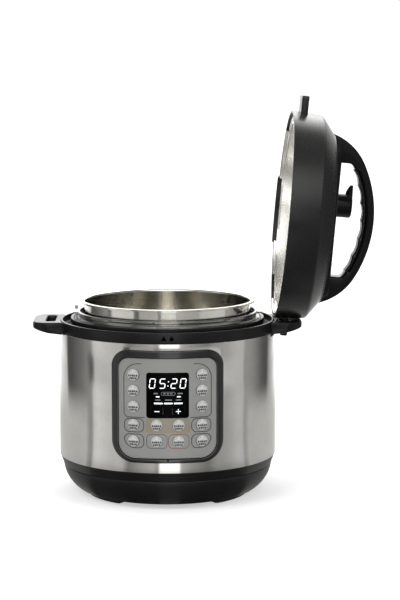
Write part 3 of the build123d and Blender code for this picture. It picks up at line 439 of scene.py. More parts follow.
class NodeTree:
    """Short hand for adding and joining nodes."""

    def __init__(self, tree: bpy.types.NodeTree) -> None:
        """Keep the tree that nodes are added to."""
        self.tree = tree

    def add(self, kind: str, inputs: dict[str | int, object] | None = None, **settings: object) -> Node:
        """Add a node with its settings, and with values or links for its inputs.

        Args:
            kind: class name of the node.
            inputs: value of, or socket linked to, each input by name or number.
            **settings: attributes of the node.

        Returns:
            The new node.
        """
        node = self.tree.nodes.new(kind)
        for key, value in settings.items():
            setattr(node, key, value)
        for key, value in (inputs or {}).items():
            if isinstance(value, Socket):
                self.link(value, node.inputs[key])
            else:
                node.inputs[key].default_value = value
        return node

    def link(self, source: Socket, target: Socket) -> None:
        """Join two sockets."""
        self.tree.links.new(source, target)

    def math(self, operation: str, *values: object) -> Socket:
        """Add a Math node and return its output."""
        return self.add("ShaderNodeMath", dict(enumerate(values)), operation=operation).outputs[0]

    def product(self, *values: object) -> Socket:
        """Multiply two or more values, from the first to the last."""
        return reduce(lambda found, value: self.math("MULTIPLY", found, value), values)

    def spread(self, value: Socket, low: float, high: float, first: object = 0.0,
               last: object = 1.0, **settings: object) -> Socket:
        """Take a value from the range low to high to the range first to last, clamped at both ends."""
        ends = {0: value, 1: low, 2: high, 3: first, 4: last}
        return self.add("ShaderNodeMapRange", ends, **settings).outputs[0]

    def mix(self, share: Socket, first: object, last: object) -> Socket:
        """Mix two colours."""
        ends = {0: share, 6: first, 7: last}
        return self.add("ShaderNodeMix", ends, data_type="RGBA").outputs[2]

    def noise(self, place: Socket, **inputs: object) -> Socket:
        """Add a noise at a place and return its value."""
        values = {key.capitalize(): value for key, value in inputs.items()}
        return self.add("ShaderNodeTexNoise", {"Vector": place} | values).outputs[0]

    def split(self, vector: Socket) -> Sequence[Socket]:
        """X, Y and Z of a vector."""
        return self.add("ShaderNodeSeparateXYZ", {0: vector}).outputs

    def object_place(self) -> Socket:
        """Place of a point in its object's own frame."""
        return self.add("ShaderNodeTexCoord").outputs["Object"]


def new_group(name: str, inputs: Sequence[tuple[str, str, object]],
              outputs: Sequence[tuple[str, str]]) -> tuple[NodeTree, Node, Node]:
    """Start a shader node group with named sockets.

    Args:
        name: name of the group.
        inputs: name, kind and default of each input.
        outputs: name and kind of each output.

    Returns:
        The tree's helper, its input node and its output node.
    """
    tree = bpy.data.node_groups.new(name, "ShaderNodeTree")
    for label, kind, default in inputs:
        socket = tree.interface.new_socket(label, in_out="INPUT", socket_type=f"NodeSocket{kind}")
        socket.default_value = default
    for label, kind in outputs:
        tree.interface.new_socket(label, in_out="OUTPUT", socket_type=f"NodeSocket{kind}")
    made = NodeTree(tree)
    return made, made.add("NodeGroupInput"), made.add("NodeGroupOutput")


def put_out_relief(made: NodeTree, enter: Node, leave: Node, noise: Socket) -> None:
    """Put a noise out as a height, and as a value between the group's two limits."""
    made.link(made.spread(noise, 0.3, 0.7, enter.outputs["Low"], enter.outputs["High"]),
              leave.inputs["Value"])
    made.link(noise, leave.inputs["Height"])


@cache
def grain_group() -> bpy.types.NodeTree:
    """Fine relief of a surface: a stretched noise, as a height and a value."""
    made, enter, leave = new_group(
        "surface_grain",
        [("Scale", "Vector", (900.0, 900.0, 900.0)), ("Low", "Float", 0.3), ("High", "Float", 0.5)],
        [("Value", "Float"), ("Height", "Float")])
    scaled = made.add("ShaderNodeVectorMath", {0: made.object_place(), 1: enter.outputs["Scale"]},
                      operation="MULTIPLY").outputs[0]
    put_out_relief(made, enter, leave, made.noise(scaled, scale=1.0, detail=3.0, roughness=0.6))
    return made.tree


@cache
def turned_group() -> bpy.types.NodeTree:
    """Brushing that runs round the cooker's axis, as a height and a value."""
    made, enter, leave = new_group(
        "turned_brushing",
        [("Along", "Float", 3.0), ("Across", "Float", 2500.0), ("Low", "Float", 0.2), ("High", "Float", 0.3)],
        [("Value", "Float"), ("Height", "Float")])
    x, y, z = made.split(made.object_place())
    turn = made.math("ARCTAN2", y, x)
    span = made.math("SQRT", made.math("ADD", made.product(x, x), made.product(y, y)))
    rise = made.math("ADD", z, span)
    lines = made.add("ShaderNodeCombineXYZ", {0: made.product(turn, enter.outputs["Along"]),
                                              1: made.product(rise, enter.outputs["Across"])})
    put_out_relief(made, enter, leave, made.noise(lines.outputs[0], scale=1.0, detail=4.0, roughness=0.7))
    return made.tree


@cache
def tone_group() -> bpy.types.NodeTree:
    """Slow change of tone over a surface, with dust and a painted sheen that lighten it where it faces up."""
    made, enter, leave = new_group(
        "surface_tone",
        [("Color", "Color", (0.5, 0.5, 0.5, 1)), ("Shade", "Color", (0.4, 0.4, 0.4, 1)),
         ("Size", "Float", 30.0), ("Dust and sheen", "Float", 0.0)],
        [("Color", "Color"), ("Mask", "Float")])
    place = made.object_place()
    noise = made.noise(place, scale=enter.outputs["Size"], detail=5.0, roughness=0.65)
    blend = made.spread(noise, 0.35, 0.65)
    tone = made.mix(blend, enter.outputs["Color"], enter.outputs["Shade"])
    up = made.split(made.add("ShaderNodeNewGeometry").outputs["Normal"])[2]
    speck = made.noise(place, scale=900.0, detail=2.0)
    # Dust and painted sheen: upward faces are lightened, standing in for light from above as well as for dust
    dust_and_sheen = made.product(made.math("MAXIMUM", up, 0.0), made.product(speck, enter.outputs["Dust and sheen"]))
    made.link(made.mix(dust_and_sheen, tone, (0.45, 0.44, 0.42, 1)), leave.inputs["Color"])
    made.link(blend, leave.inputs["Mask"])
    return made.tree


@dataclass(frozen=True)
class Finish:
    """A surface finish: the material's name, its slot in the record and its look."""

    name: str
    slot: str
    color: Color
    shade: Color  # second colour of its slow change of tone
    roughness: float = 0.4
    spread: float = 0.05  # how far the roughness changes either way
    grain: float = 900.0  # points of relief per metre
    relief: float = 0.02  # height of the relief in millimetres
    kind: Kind = Kind.PLAIN
    rise: float = 1.0  # share of the grain along Z
    dust_and_sheen: float = 0.0  # trace of dust and painted sheen where it faces up
    stretch: float = 0.0  # how far brushing draws highlights out
    gloss: float = 0.5  # strength of the mirror layer of a finish that is not metal

    def material(self) -> bpy.types.Material:
        """Build the material once and return it; one that the frame has by its name is kept."""
        found = bpy.data.materials.get(self.name)
        if found:
            return found
        made = bpy.data.materials.new(self.name)
        made.use_nodes = True
        nodes = NodeTree(made.node_tree)
        shader = made.node_tree.nodes["Principled BSDF"]
        color, shade = (*self.color, 1), (*self.shade, 1)
        tone = nodes.add("ShaderNodeGroup", {"Color": color, "Shade": shade, "Dust and sheen": self.dust_and_sheen},
                         node_tree=tone_group())
        nodes.link(tone.outputs["Color"], shader.inputs["Base Color"])
        limits = {"Low": max(0.02, self.roughness - self.spread), "High": self.roughness + self.spread}
        if self.kind is Kind.BRUSHED:
            relief = nodes.add("ShaderNodeGroup", limits, node_tree=turned_group())
        else:
            scale = (self.grain, self.grain, self.grain * self.rise)
            relief = nodes.add("ShaderNodeGroup", limits | {"Scale": scale}, node_tree=grain_group())
        nodes.link(relief.outputs["Value"], shader.inputs["Roughness"])
        bump = nodes.add("ShaderNodeBump", {"Strength": 0.6, "Distance": self.relief * MM,
                                            "Height": relief.outputs["Height"]})
        nodes.link(bump.outputs[0], shader.inputs["Normal"])
        for name, value in self.constants().items():
            shader.inputs[name].default_value = value
        made.diffuse_color = color
        return made

    def constants(self) -> dict[str, object]:
        """Values that are the same all over, by the name of the shader's input."""
        metal = self.kind in (Kind.BRUSHED, Kind.METAL)
        values = {"Metallic": 1.0 if metal else 0.0, "Specular IOR Level": self.gloss,
                  "Anisotropic": self.stretch, "Anisotropic Rotation": 0.25 if self.stretch else 0.0}
        if self.kind is Kind.CLEAR:
            values |= {"Transmission Weight": 0.85, "IOR": 1.49}
        if self.kind is Kind.LIT:
            values |= {"Emission Color": (*self.color, 1), "Emission Strength": 0.9}
        return values


WRAP_STEEL = Finish("wrap_brushed_steel", "wrap_steel", (0.63, 0.62, 0.6), (0.57, 0.56, 0.54), 0.11, 0.03,
                    relief=0.002, kind=Kind.BRUSHED, stretch=0.6)
POT_STEEL = Finish("pot_polished_steel", "pot_steel", (0.77, 0.755, 0.71), (0.68, 0.66, 0.6), 0.12, 0.01,
                   relief=0.0002, kind=Kind.BRUSHED, stretch=0.85)
# Polished steel painted dark: painted shade where the ring sits under the pot's rim
FLANGE_STEEL_PAINTED_SHADE = Finish("flange_steel_painted_shade", "flange_steel", (0.3, 0.3, 0.295), (0.23, 0.23, 0.225), 0.18,
                      0.05, 400.0, 0.004, kind=Kind.METAL)
LID_STEEL = Finish("inner_lid_steel", "lid_steel", (0.86, 0.85, 0.82), (0.82, 0.81, 0.78), 0.24, 0.03,
                   250.0, 0.001, kind=Kind.METAL)
LINER_STEEL = Finish("liner_drawn_steel", "liner_steel", (0.55, 0.55, 0.55), (0.48, 0.48, 0.48), 0.34, 0.06,
                     relief=0.01, kind=Kind.BRUSHED, stretch=0.4)
HEATER_METAL = Finish("heater_cast_aluminium", "heater_aluminium", (0.66, 0.66, 0.67), (0.56, 0.56, 0.57),
                      0.42, 0.08, 600.0, 0.05, kind=Kind.METAL)
SMALL_STEEL = Finish("fastener_steel", "small_steel", (0.62, 0.62, 0.63), (0.52, 0.52, 0.53), 0.28, 0.06,
                     800.0, kind=Kind.METAL)
SPRING_STEEL = Finish("spring_wire", "spring_steel", (0.48, 0.48, 0.5), (0.4, 0.4, 0.42), 0.3, 0.06, 1200.0,
                      kind=Kind.METAL, rise=200 / 1200)
BASE_PLASTIC = Finish("base_moulding", "base_plastic", (0.01, 0.01, 0.0102), (0.013, 0.013, 0.0135), 0.34,
                      0.05, 1500.0, 0.012, dust_and_sheen=0.02, gloss=0.34)
RING_PLASTIC = Finish("ring_moulding", "ring_plastic", (0.006, 0.006, 0.0062), (0.009, 0.009, 0.0095), 0.24,
                      0.05, 1500.0, 0.012, dust_and_sheen=0.05, gloss=0.16)
# Dust and a painted sheen lighten its upward faces, as a highlight from above
LID_PLASTIC = Finish("lid_moulding", "lid_plastic", (0.006, 0.006, 0.0062), (0.007, 0.007, 0.0074), 0.26,
                     0.04, 1200.0, 0.006, dust_and_sheen=0.09, gloss=0.28)
HANDLE_PLASTIC = Finish("handle_moulding", "handle_plastic", (0.006, 0.006, 0.0062), (0.009, 0.009, 0.0094),
                        0.24, 0.04, 1200.0, 0.008, dust_and_sheen=0.02, gloss=0.1)
GRIP_PLASTIC = Finish("grip_moulding", "grip_plastic", (0.007, 0.007, 0.0072), (0.01, 0.01, 0.0105), 0.36,
                      0.05, 1100.0, 0.04, gloss=0.35)
VALVE_PLASTIC = Finish("valve_moulding", "valve_plastic", (0.007, 0.007, 0.0072), (0.01, 0.01, 0.0105),
                       0.34, 0.05, 1300.0, 0.01, gloss=0.15)
SILICONE = Finish("seal_silicone", "silicone", (0.72, 0.72, 0.7), (0.66, 0.66, 0.64), 0.5, 0.06, 500.0)
FOOT_RUBBER = Finish("foot_rubber", "foot_rubber", (0.031, 0.031, 0.031), (0.031, 0.031, 0.031), 0.85, 0.08,
                     relief=0.08)
BOARD = Finish("board_laminate", "board", (0.05, 0.2, 0.1), (0.04, 0.16, 0.08), 0.4, 0.06, 400.0, 0.03)
SWITCH_PLASTIC = Finish("switch_moulding", "switch_plastic", (0.1, 0.1, 0.1), (0.13, 0.13, 0.13), 0.5, 0.06)
DISPLAY_PLASTIC = Finish("display_moulding", "display_plastic", (0.1, 0.1, 0.1), (0.12, 0.12, 0.12), 0.5,
                         0.06)
BEZEL_PLASTIC = Finish("bezel_gloss", "bezel_plastic", (0.006, 0.006, 0.0062), (0.009, 0.009, 0.0094), 0.16,
                       0.04, 700.0, 0.006, gloss=0.6)
OVERLAY_FILM = Finish("panel_film", "overlay_film", (0.3, 0.3, 0.29), (0.28, 0.28, 0.27), 0.36, 0.05,
                      1600.0, 0.01, gloss=0.4)
KEY_FILM = Finish("key_film", "key_film", (0.52, 0.52, 0.51), (0.52, 0.52, 0.51), 0.7, 0.05, 1600.0, 0.008,
                  gloss=0.4)
# Pale colour laid on the top of each key's dome as a painted highlight
KEY_PAINTED_HIGHLIGHT = Finish("key_painted_highlight", "key_film", (0.7, 0.7, 0.68), (0.64, 0.64, 0.62), 0.34, 0.04, relief=0.002)
INK_BLACK = Finish("ink_black", "overlay_film", (0.001, 0.001, 0.001), (0.001, 0.001, 0.001), 0.5, 0.04,
                   relief=0.002, gloss=0.0)
WINDOW_PLASTIC = Finish("window_gloss", "window_plastic", (0.002, 0.002, 0.0022), (0.001, 0.001, 0.0012),
                        0.14, 0.03, 300.0, 0.003, gloss=0.02)
INLET_PLASTIC = Finish("inlet_moulding", "inlet_plastic", (0.025, 0.025, 0.025), (0.032, 0.032, 0.032), 0.5,
                       0.06)
PIN_BRASS = Finish("pin_plated_brass", "pin_brass", (0.74, 0.62, 0.38), (0.66, 0.54, 0.32), 0.3, 0.06,
                   kind=Kind.METAL)
COLLECTOR_PLASTIC = Finish("collector_clear", "collector_plastic", (0.86, 0.88, 0.89), (0.8, 0.83, 0.84),
                           0.14, 0.04, 300.0, 0.01, kind=Kind.CLEAR)
INK_DARK = Finish("ink_dark", "overlay_film", (0.03, 0.03, 0.033), (0.04, 0.04, 0.044), 0.45, 0.05,
                  relief=0.002)
INK_BLUE = Finish("ink_blue", "overlay_film", (0.055, 0.045, 0.085), (0.065, 0.055, 0.1), 0.45, 0.05,
                  relief=0.002)
INK_RED = Finish("ink_red", "overlay_film", (0.2, 0.055, 0.04), (0.23, 0.07, 0.05), 0.45, 0.05,
                 relief=0.002)
INK_TINT = Finish("ink_tint", "overlay_film", (0.29, 0.245, 0.185), (0.26, 0.245, 0.19), 0.36, 0.05,
                  relief=0.002)
DIGIT_LIGHT = Finish("digit_light", "window_plastic", (0.86, 0.88, 0.9), (0.84, 0.86, 0.88), 0.4, 0.04,
                     relief=0.002, kind=Kind.LIT)
FAINT_LIGHT = Finish("faint_light", "window_plastic", (0.24, 0.24, 0.26), (0.2, 0.2, 0.22), 0.4, 0.04,
                     relief=0.002)


# Studio

@dataclass(frozen=True)
class Studio:
    """Pale floor, soft lamps, world and camera. Its lengths are metres and its angles degrees."""

    camera_place: Point3 = (0.0, -2.0939, 0.48438)
    camera_tilt: float = 0.1274  # radians that the camera looks down
    camera_turn: float = -0.0175  # radians that it turns about Z
    lens: float = 112.62
    sensor: float = 36.0
    ambient: float = 0.5  # strength of the world on surfaces that scatter light
    card_light: float = 2.0  # strength of the cards in reflections
    # Tone of the cards and flags that stand round the object, by angle from the front
    tones: tuple[Point2, ...] = (
        (-180.0, 1.0), (-152.0, 0.51), (-136.0, 0.40), (-131.0, 0.05), (-120.0, 0.06), (-104.0, 0.11),
        (-91.5, 0.18), (-86.5, 0.23), (-85.5, 0.42), (-79.0, 0.47), (-64.0, 0.39), (-48.0, 0.33),
        (-41.0, 0.14), (-31.0, 0.21), (-15.0, 0.31), (-9.0, 0.20), (-8.0, 1.0), (11.5, 1.0),
        (13.0, 0.33), (24.0, 0.21), (42.0, 0.125), (51.0, 0.21), (66.0, 0.26), (80.0, 0.35),
        (87.0, 0.34), (89.0, 0.23), (103.0, 0.17), (119.0, 0.07), (131.0, 0.05), (136.0, 0.20),
        (148.0, 0.38), (180.0, 1.0))
    # Tone of the floor in reflections, far in front of the object, in bands of painted shade from the flags
    far_tones: tuple[Point2, ...] = (
        (-95.0, 0.06), (-85.0, 0.06), (-82.0, 0.36), (-48.0, 0.36), (-46.5, 0.02), (-40.5, 0.02),
        (-39.0, 0.26), (-14.0, 0.25), (-12.5, 0.10), (12.5, 0.10), (14.0, 0.27), (44.0, 0.30),
        (45.5, 0.38), (86.0, 0.36), (88.0, 0.20), (95.0, 0.20))
    low_card: Color = (0.1, 0.1, 0.098)
    high_card: Color = (2.6, 2.6, 2.55)
    floor_half: float = 20000.0  # millimetres, like the two below
    floor_top: float = -0.05
    floor_low: float = -20.0
    floor_tone: float = 0.8
    near_tone: Color = (0.33, 0.33, 0.32)
    swirl: float = 0.064  # how much the cards' angle grows near the object
    far_edge: Point2 = (1.38, 1.44)  # where the far tones start

    def build(self) -> None:
        """Set up the whole studio."""
        bpy.context.scene.view_settings.view_transform = "Standard"
        self.camera()
        self.world()
        self.floor()
        self.lamp("key_lamp", (-1.3, -1.5, 1.9), (0.0, 0.0, 0.2), 1.3, 21.0)
        self.lamp("fill_lamp", (1.7, -1.3, 1.2), (0.0, 0.0, 0.25), 1.2, 11.0)
        self.lamp("top_lamp", (0.1, 0.4, 2.1), (0.05, 0.0, 0.2), 1.4, 15.0)

    def camera(self) -> None:
        """Place the camera."""
        data = bpy.data.cameras.new("view")
        data.lens = self.lens
        data.sensor_width = self.sensor
        data.clip_start = 0.05
        made = bpy.data.objects.new("view", data)
        made.location = self.camera_place
        made.rotation_euler = (pi / 2 - self.camera_tilt, 0.0, self.camera_turn)
        bpy.context.scene.collection.objects.link(made)
        bpy.context.scene.camera = made

    def lamp(self, name: str, place: Point3, aim: Point3, size: float, power: float) -> None:
        """Add a square soft lamp that neither the camera nor a mirror shows.

        Args:
            name: name of the lamp.
            place: where it hangs.
            aim: the point it faces.
            size: length of its side.
            power: its power in watts.
        """
        data = bpy.data.lights.new(name, "AREA")
        data.shape = "SQUARE"
        data.size = size
        data.energy = power
        made = bpy.data.objects.new(name, data)
        made.location = place
        made.rotation_euler = (Vector(aim) - Vector(place)).to_track_quat("-Z", "Y").to_euler()
        made.visible_camera = False
        made.visible_glossy = False
        bpy.context.scene.collection.objects.link(made)

    @staticmethod
    def ramp(nodes: NodeTree, turn: Socket, tones: Sequence[Point2]) -> Socket:
        """Tone at an angle from the front.

        Args:
            nodes: the tree that the nodes go in.
            turn: the angle in radians.
            tones: angle in degrees and tone of each mark.

        Returns:
            The tone.
        """
        share = nodes.math("ADD", nodes.math("DIVIDE", turn, 2 * pi), 0.5)
        node = nodes.add("ShaderNodeValToRGB", {0: share})
        marks = node.color_ramp.elements
        while len(marks) < len(tones):
            marks.new(0.5)
        for mark, (angle, tone) in zip(marks, tones):
            mark.position = angle / FULL_TURN + 0.5
            mark.color = (tone, tone, tone * 0.98, 1)
        return node.outputs[0]

    @staticmethod
    def turn_of(nodes: NodeTree, x: Socket, y: Socket) -> Socket:
        """Angle of a direction from the front, in radians."""
        return nodes.math("ARCTAN2", x, nodes.math("MULTIPLY", y, -1.0))

    @cache
    def bands(self) -> bpy.types.NodeTree:
        """Group that turns a direction into the tone of the cards and flags there."""
        made, enter, leave = new_group("studio_bands", [("Vector", "Vector", (0.0, -1.0, 0.0))],
                                       [("Color", "Color")])
        x, y, _ = made.split(enter.outputs["Vector"])
        made.link(self.ramp(made, self.turn_of(made, x, y), self.tones), leave.inputs["Color"])
        return made.tree

    @staticmethod
    def by_ray(nodes: NodeTree, scattered: Node, mirrored: Node, seen: Node) -> Socket:
        """Shader that differs with the kind of ray.

        Args:
            nodes: the tree that the nodes go in.
            scattered: shader for rays that light surfaces.
            mirrored: shader for reflections.
            seen: shader for the camera and for what clear pieces show.

        Returns:
            The mixed shader.
        """
        path = nodes.add("ShaderNodeLightPath").outputs
        straight = nodes.math("MAXIMUM", path["Is Camera Ray"], path["Is Transmission Ray"])
        first = nodes.add("ShaderNodeMixShader", {0: path["Is Glossy Ray"], 1: scattered.outputs[0],
                                                  2: mirrored.outputs[0]})
        ends = {0: straight, 1: first.outputs[0], 2: seen.outputs[0]}
        return nodes.add("ShaderNodeMixShader", ends).outputs[0]

    def world(self) -> None:
        """White behind the object; soft bands of white and grey in reflections."""
        made = bpy.data.worlds.new("studio")
        made.use_nodes = True
        bpy.context.scene.world = made
        nodes = NodeTree(made.node_tree)
        made.node_tree.nodes.clear()
        place = nodes.add("ShaderNodeTexCoord").outputs["Generated"]
        x, y, z = nodes.split(place)
        cards = nodes.add("ShaderNodeGroup", {0: place}, node_tree=self.bands())
        back = nodes.spread(y, 0.05, 0.3, 0.6)
        middle = nodes.spread(nodes.math("ABSOLUTE", x), 0.65, 0.2)
        overhead = nodes.product(back, middle, nodes.spread(z, 0.9, 0.7))
        above = nodes.mix(overhead, (*self.low_card, 1), (*self.high_card, 1))
        sky = nodes.mix(nodes.spread(z, 0.2, 0.5), cards.outputs[0], above)
        white = (1, 1, 1, 1)
        soft, mirrored, seen = (
            nodes.add("ShaderNodeBackground", {"Color": color, "Strength": strength})
            for color, strength in ((white, self.ambient), (sky, self.card_light), (white, 1.0)))
        nodes.add("ShaderNodeOutputWorld", {0: self.by_ray(nodes, soft, mirrored, seen)})

    def floor(self) -> None:
        """Pale floor that looks white and keeps the object's shadow."""
        half = self.floor_half
        made = Shape().prism([(-half, -half), (half, -half), (half, half), (-half, half)],
                             self.floor_low, self.floor_top).bare("studio_floor")
        material = bpy.data.materials.new("studio_floor")
        material.use_nodes = True
        nodes = NodeTree(material.node_tree)
        material.node_tree.nodes.clear()
        place = nodes.add("ShaderNodeNewGeometry").outputs["Position"]
        reach = nodes.add("ShaderNodeVectorMath", {0: place}, operation="LENGTH").outputs["Value"]
        pale = nodes.add("ShaderNodeBsdfDiffuse", {"Color": (*[self.floor_tone] * 3, 1)})
        glow = nodes.add("ShaderNodeEmission", {"Color": (1, 1, 1, 1),
                                                "Strength": nodes.spread(reach, 0.5, 2.5, 0.5)})
        both = nodes.add("ShaderNodeAddShader", {0: pale.outputs[0], 1: glow.outputs[0]})
        mirrored = self.mirrored_floor(nodes, place, reach)
        nodes.add("ShaderNodeOutputMaterial", {0: self.by_ray(nodes, pale, mirrored, both)})
        made.data.materials.append(material)

    def mirrored_floor(self, nodes: NodeTree, place: Socket, reach: Socket) -> Node:
        """Floor as reflections show it: the cards' tones, laid out round the object, and dimmed close round
        it as a painted shadow.

        Args:
            nodes: the floor's tree.
            place: the point on the floor.
            reach: its distance from the axis.

        Returns:
            The node that gives off the floor's light.
        """
        x, y, _ = nodes.split(place)
        growth = nodes.math("ADD", nodes.math("DIVIDE", self.swirl, reach), 1.0)
        turned = nodes.math("MINIMUM", nodes.product(self.turn_of(nodes, x, y), growth), pi)
        turned = nodes.math("MAXIMUM", turned, -pi)
        off = nodes.math("ABSOLUTE", turned)
        ahead = nodes.product(nodes.math("COSINE", turned), -1.0)
        way = nodes.add("ShaderNodeCombineXYZ", {0: nodes.math("SINE", turned), 1: ahead})
        cards = nodes.add("ShaderNodeGroup", {0: way.outputs[0]}, node_tree=self.bands())
        side = nodes.spread(ahead, 0.0, 0.12)
        close = nodes.product(nodes.spread(reach, 1.0, 0.45, interpolation_type="SMOOTHSTEP"), side)
        tone = nodes.mix(close, cards.outputs[0], (*self.near_tone, 1))
        beyond = nodes.spread(reach, *self.far_edge)
        front = nodes.product(beyond, nodes.spread(off, 1.65, 1.55))
        tone = nodes.mix(front, tone, self.ramp(nodes, turned, self.far_tones))
        behind = nodes.product(nodes.spread(off, 2.3, 2.6), beyond)
        weight = nodes.add("ShaderNodeMix", {0: behind, 2: 1.0, 3: nodes.spread(reach, 2.0, 3.6, 1.3, 0.6)})
        # Painted shadow: reflections of the floor are dimmed close round the object, most in front
        least = nodes.math("ADD", nodes.product(side, 0.6), 0.1)
        under = nodes.spread(reach, 0.15, 0.24, least, 1.0)
        light = nodes.product(under, self.card_light, weight.outputs[0])
        return nodes.add("ShaderNodeEmission", {"Color": tone, "Strength": light})


# Cooker

@dataclass
class BaseMoulding:
    """Black bowl under the wrap, with its feet, bottom cover and screws."""

    top_radius: float = 121.2  # where the bowl meets the wrap
    top: float = 44.0  # level of that seam
    crease_inset: float = 3.7  # crease inside the seam
    crease_drop: float = 10.5  # crease below the seam
    floor_radius: float = 97.0
    floor: float = 4.0  # underside of the floor
    bulge: float = 4.4  # how far the side's curve stands out of its chord
    wall: float = 2.6
    opening: float = 64.0  # hole under the boards
    spigot: float = 120.6  # collar that stands up inside the wrap
    spigot_wall: float = 2.0
    spigot_rise: float = 10.0
    spigot_fall: float = 5.0
    boss: Point2 = (42.0, 33.0)  # flat boss round the power inlet
    boss_depth: float = 26.0
    boss_face: float = 121.4
    inlet_hole: Point2 = (29.9, 21.9)
    inlet_level: float = 25.0
    foot_inner: float = 80.0
    foot_outer: float = 92.0
    foot_half_angle: float = 17.0
    foot_angles: tuple[float, ...] = (38.0, 142.0, 218.0, 322.0)
    foot_height: float = 2.5
    foot_ribs: int = 5
    rib_pitch: float = 2.4
    cover_radius: float = 74.0
    cover_thickness: float = 1.8
    vents: int = 5
    vent: Point2 = (60.0, 4.0)
    vent_pitch: float = 11.0
    screw_circle: float = 69.0
    screw_angles: tuple[float, ...] = (0.0, 90.0, 180.0, 270.0)
    screw_head: float = 3.4
    cross_half: Point2 = (1.8, 0.4)  # half length and half width of the recess's arms

    def build(self) -> None:
        """Make every piece of the base."""
        self.housing()
        self.feet()
        self.cover()
        self.screws()

    def side(self, inset: float, low: float) -> Loop:
        """Line of the bowl's side from its floor to its seam.

        Args:
            inset: how far the line is moved inwards.
            low: level at which it starts.

        Returns:
            Radius and height of each point.
        """
        x, y = self.floor_radius - inset, low
        seam = self.top_radius - inset
        run, rise = seam - self.crease_inset - x, self.top - self.crease_drop - y
        chord = hypot(run, rise)
        radius = chord * chord / (8 * self.bulge) + self.bulge / 2
        back = (self.bulge - radius) / chord
        a, b = x + run / 2 + rise * back, y + rise / 2 - run * back
        curve = swing(a, b, radius, atan2(y - b, x - a), atan2(y + rise - b, x + run - a), 16)
        return [*curve, (seam, self.top)]

    def housing(self) -> None:
        """Bowl with its crease, its foot pads and the boss of the power inlet."""
        outer, inner = self.side(0, self.floor), self.side(self.wall, self.floor + self.wall)
        foot, (x, y) = outer[0][0], outer[-2]
        spigot, top, radius = self.spigot, self.top, self.top_radius
        line = [(self.opening, self.floor), (foot - 1.5, self.floor), (foot - 0.4, self.floor + 0.4),
                *outer[1:-2], (x - 0.2, y - 0.8), (x - 0.7, y - 0.1), (x + 0.15, y + 0.7),
                (radius - 0.35, top - 0.9), (radius, top - 0.4), (radius - 0.3, top), (spigot, top),
                (spigot, top + self.spigot_rise), (spigot - self.spigot_wall, top + self.spigot_rise),
                (spigot - self.spigot_wall, top - self.spigot_fall), *reversed(inner[:-1]),
                (self.opening, self.floor + self.wall)]
        shape = Shape().lathe(line, 192)
        for angle in self.foot_angles:
            shape.prism(self.foot_line(angle, 1.2), self.foot_height, self.floor + 0.5, low_edge=0.6)
        made = shape.bare("base_bowl")
        boss = Shape().prism(box(*self.boss, 3, 0, self.inlet_level), -self.boss_face,
                             self.boss_depth - self.boss_face, low_edge=1.2)
        combine(made, boss.stand(), "UNION")
        hole = box(*self.inlet_hole, 0.4, 0, self.inlet_level)
        combine(made, Shape().prism(hole, -self.boss_face - 2, -90).stand())
        dress(made, BASE_PLASTIC, "base_housing")

    def foot_line(self, angle: float, rim: float) -> Loop:
        """Outline of a foot at an angle, with a rim round it."""
        half, inner, outer = self.foot_half_angle + rim / 1.2, self.foot_inner - rim, self.foot_outer + rim
        return arc(outer, angle - half, angle + half) + arc(inner, angle + half, angle - half)

    def feet(self) -> None:
        """Four rubber pads with ribs underneath."""
        shape = Shape()
        half = self.foot_half_angle - 1.5
        for angle in self.foot_angles:
            shape.prism(self.foot_line(angle, 0.0), 0.5, self.foot_height, low_edge=0.3)
            for k in range(self.foot_ribs):
                radius = (self.foot_inner + self.foot_outer) / 2 + (k - self.foot_ribs // 2) * self.rib_pitch
                line = arc(radius + 0.6, angle - half, angle + half)
                line += arc(radius - 0.6, angle + half, angle - half)
                shape.prism(line, 0.0, 0.6, low_edge=0.25, steps=2)
        shape.piece("foot_pads", FOOT_RUBBER, "rubber_feet")

    def cover(self) -> None:
        """Round bottom cover with its air slots."""
        slots = [box(*self.vent, 1.95, 0, (k - self.vents // 2) * self.vent_pitch, step=20)
                 for k in range(self.vents)]
        holes = [circle(2.0, *polar(self.screw_circle, angle), 24) for angle in self.screw_angles]
        plate = Shape().prism(circle(self.cover_radius, count=120), self.floor - self.cover_thickness,
                              self.floor, slots + holes, low_edge=0.5)
        plate.piece("vented_cover", BASE_PLASTIC, "bottom_cover")

    def screws(self) -> None:
        """Cover screws with crossed recesses."""
        under = self.floor - self.cover_thickness
        (a, b), shape = self.cross_half, Shape()
        cross = [(b, b), (a, b), (a, -b), (b, -b), (b, -a), (-b, -a),
                 (-b, -b), (-a, -b), (-a, b), (-b, b), (-b, a), (b, a)]
        for angle in self.screw_angles:
            x, y = polar(self.screw_circle, angle)
            recess = [(x + px, y + py) for px, py in reversed(cross)]
            shape.prism(circle(self.screw_head, x, y), under - 1.2, under - 0.5, [recess], low_edge=0.35)
            shape.prism(circle(self.screw_head, x, y), under - 0.5, under)
            shape.prism(circle(1.6, x, y, 24), under, self.floor + 9)
        shape.piece("cover_screws", SMALL_STEEL, "bottom_screws")


@dataclass
class SteelWrap:
    """Brushed steel wrap, open behind the control panel."""

    radius: float = 121.5
    wall: float = 0.8
    low: float = 44.0
    high: float = 184.0
    hem: float = 0.35
    opening: Point2 = (113.0, 115.0)
    opening_corners: Point2 = (14.5, 20.5)  # roundings above and below
    opening_center: float = 116.6
    seam: Point2 = (0.5, 150.0)

    def build(self) -> None:
        """Make the wrap with its seam at the back."""
        outer, inner = self.radius, self.radius - self.wall
        line = rounded([(outer, self.low, self.hem), (outer, self.high, self.hem), (inner, self.high, 0.2),
                        (inner, self.low, 0.2)], step=30)
        made = Shape().lathe(line, 256).bare("steel_wrap")
        upper, lower = self.opening_corners
        opening = box(*self.opening, upper, 0, self.opening_center, lower)
        combine(made, Shape().prism(opening, 60, 140).stand())
        seam = box(*self.seam, 0.1, 0, (self.low + self.high) / 2)
        combine(made, Shape().prism(seam, -outer - 1, -outer + 0.3).stand(), sharp=20)
        dress(made, WRAP_STEEL, "outer_shell")


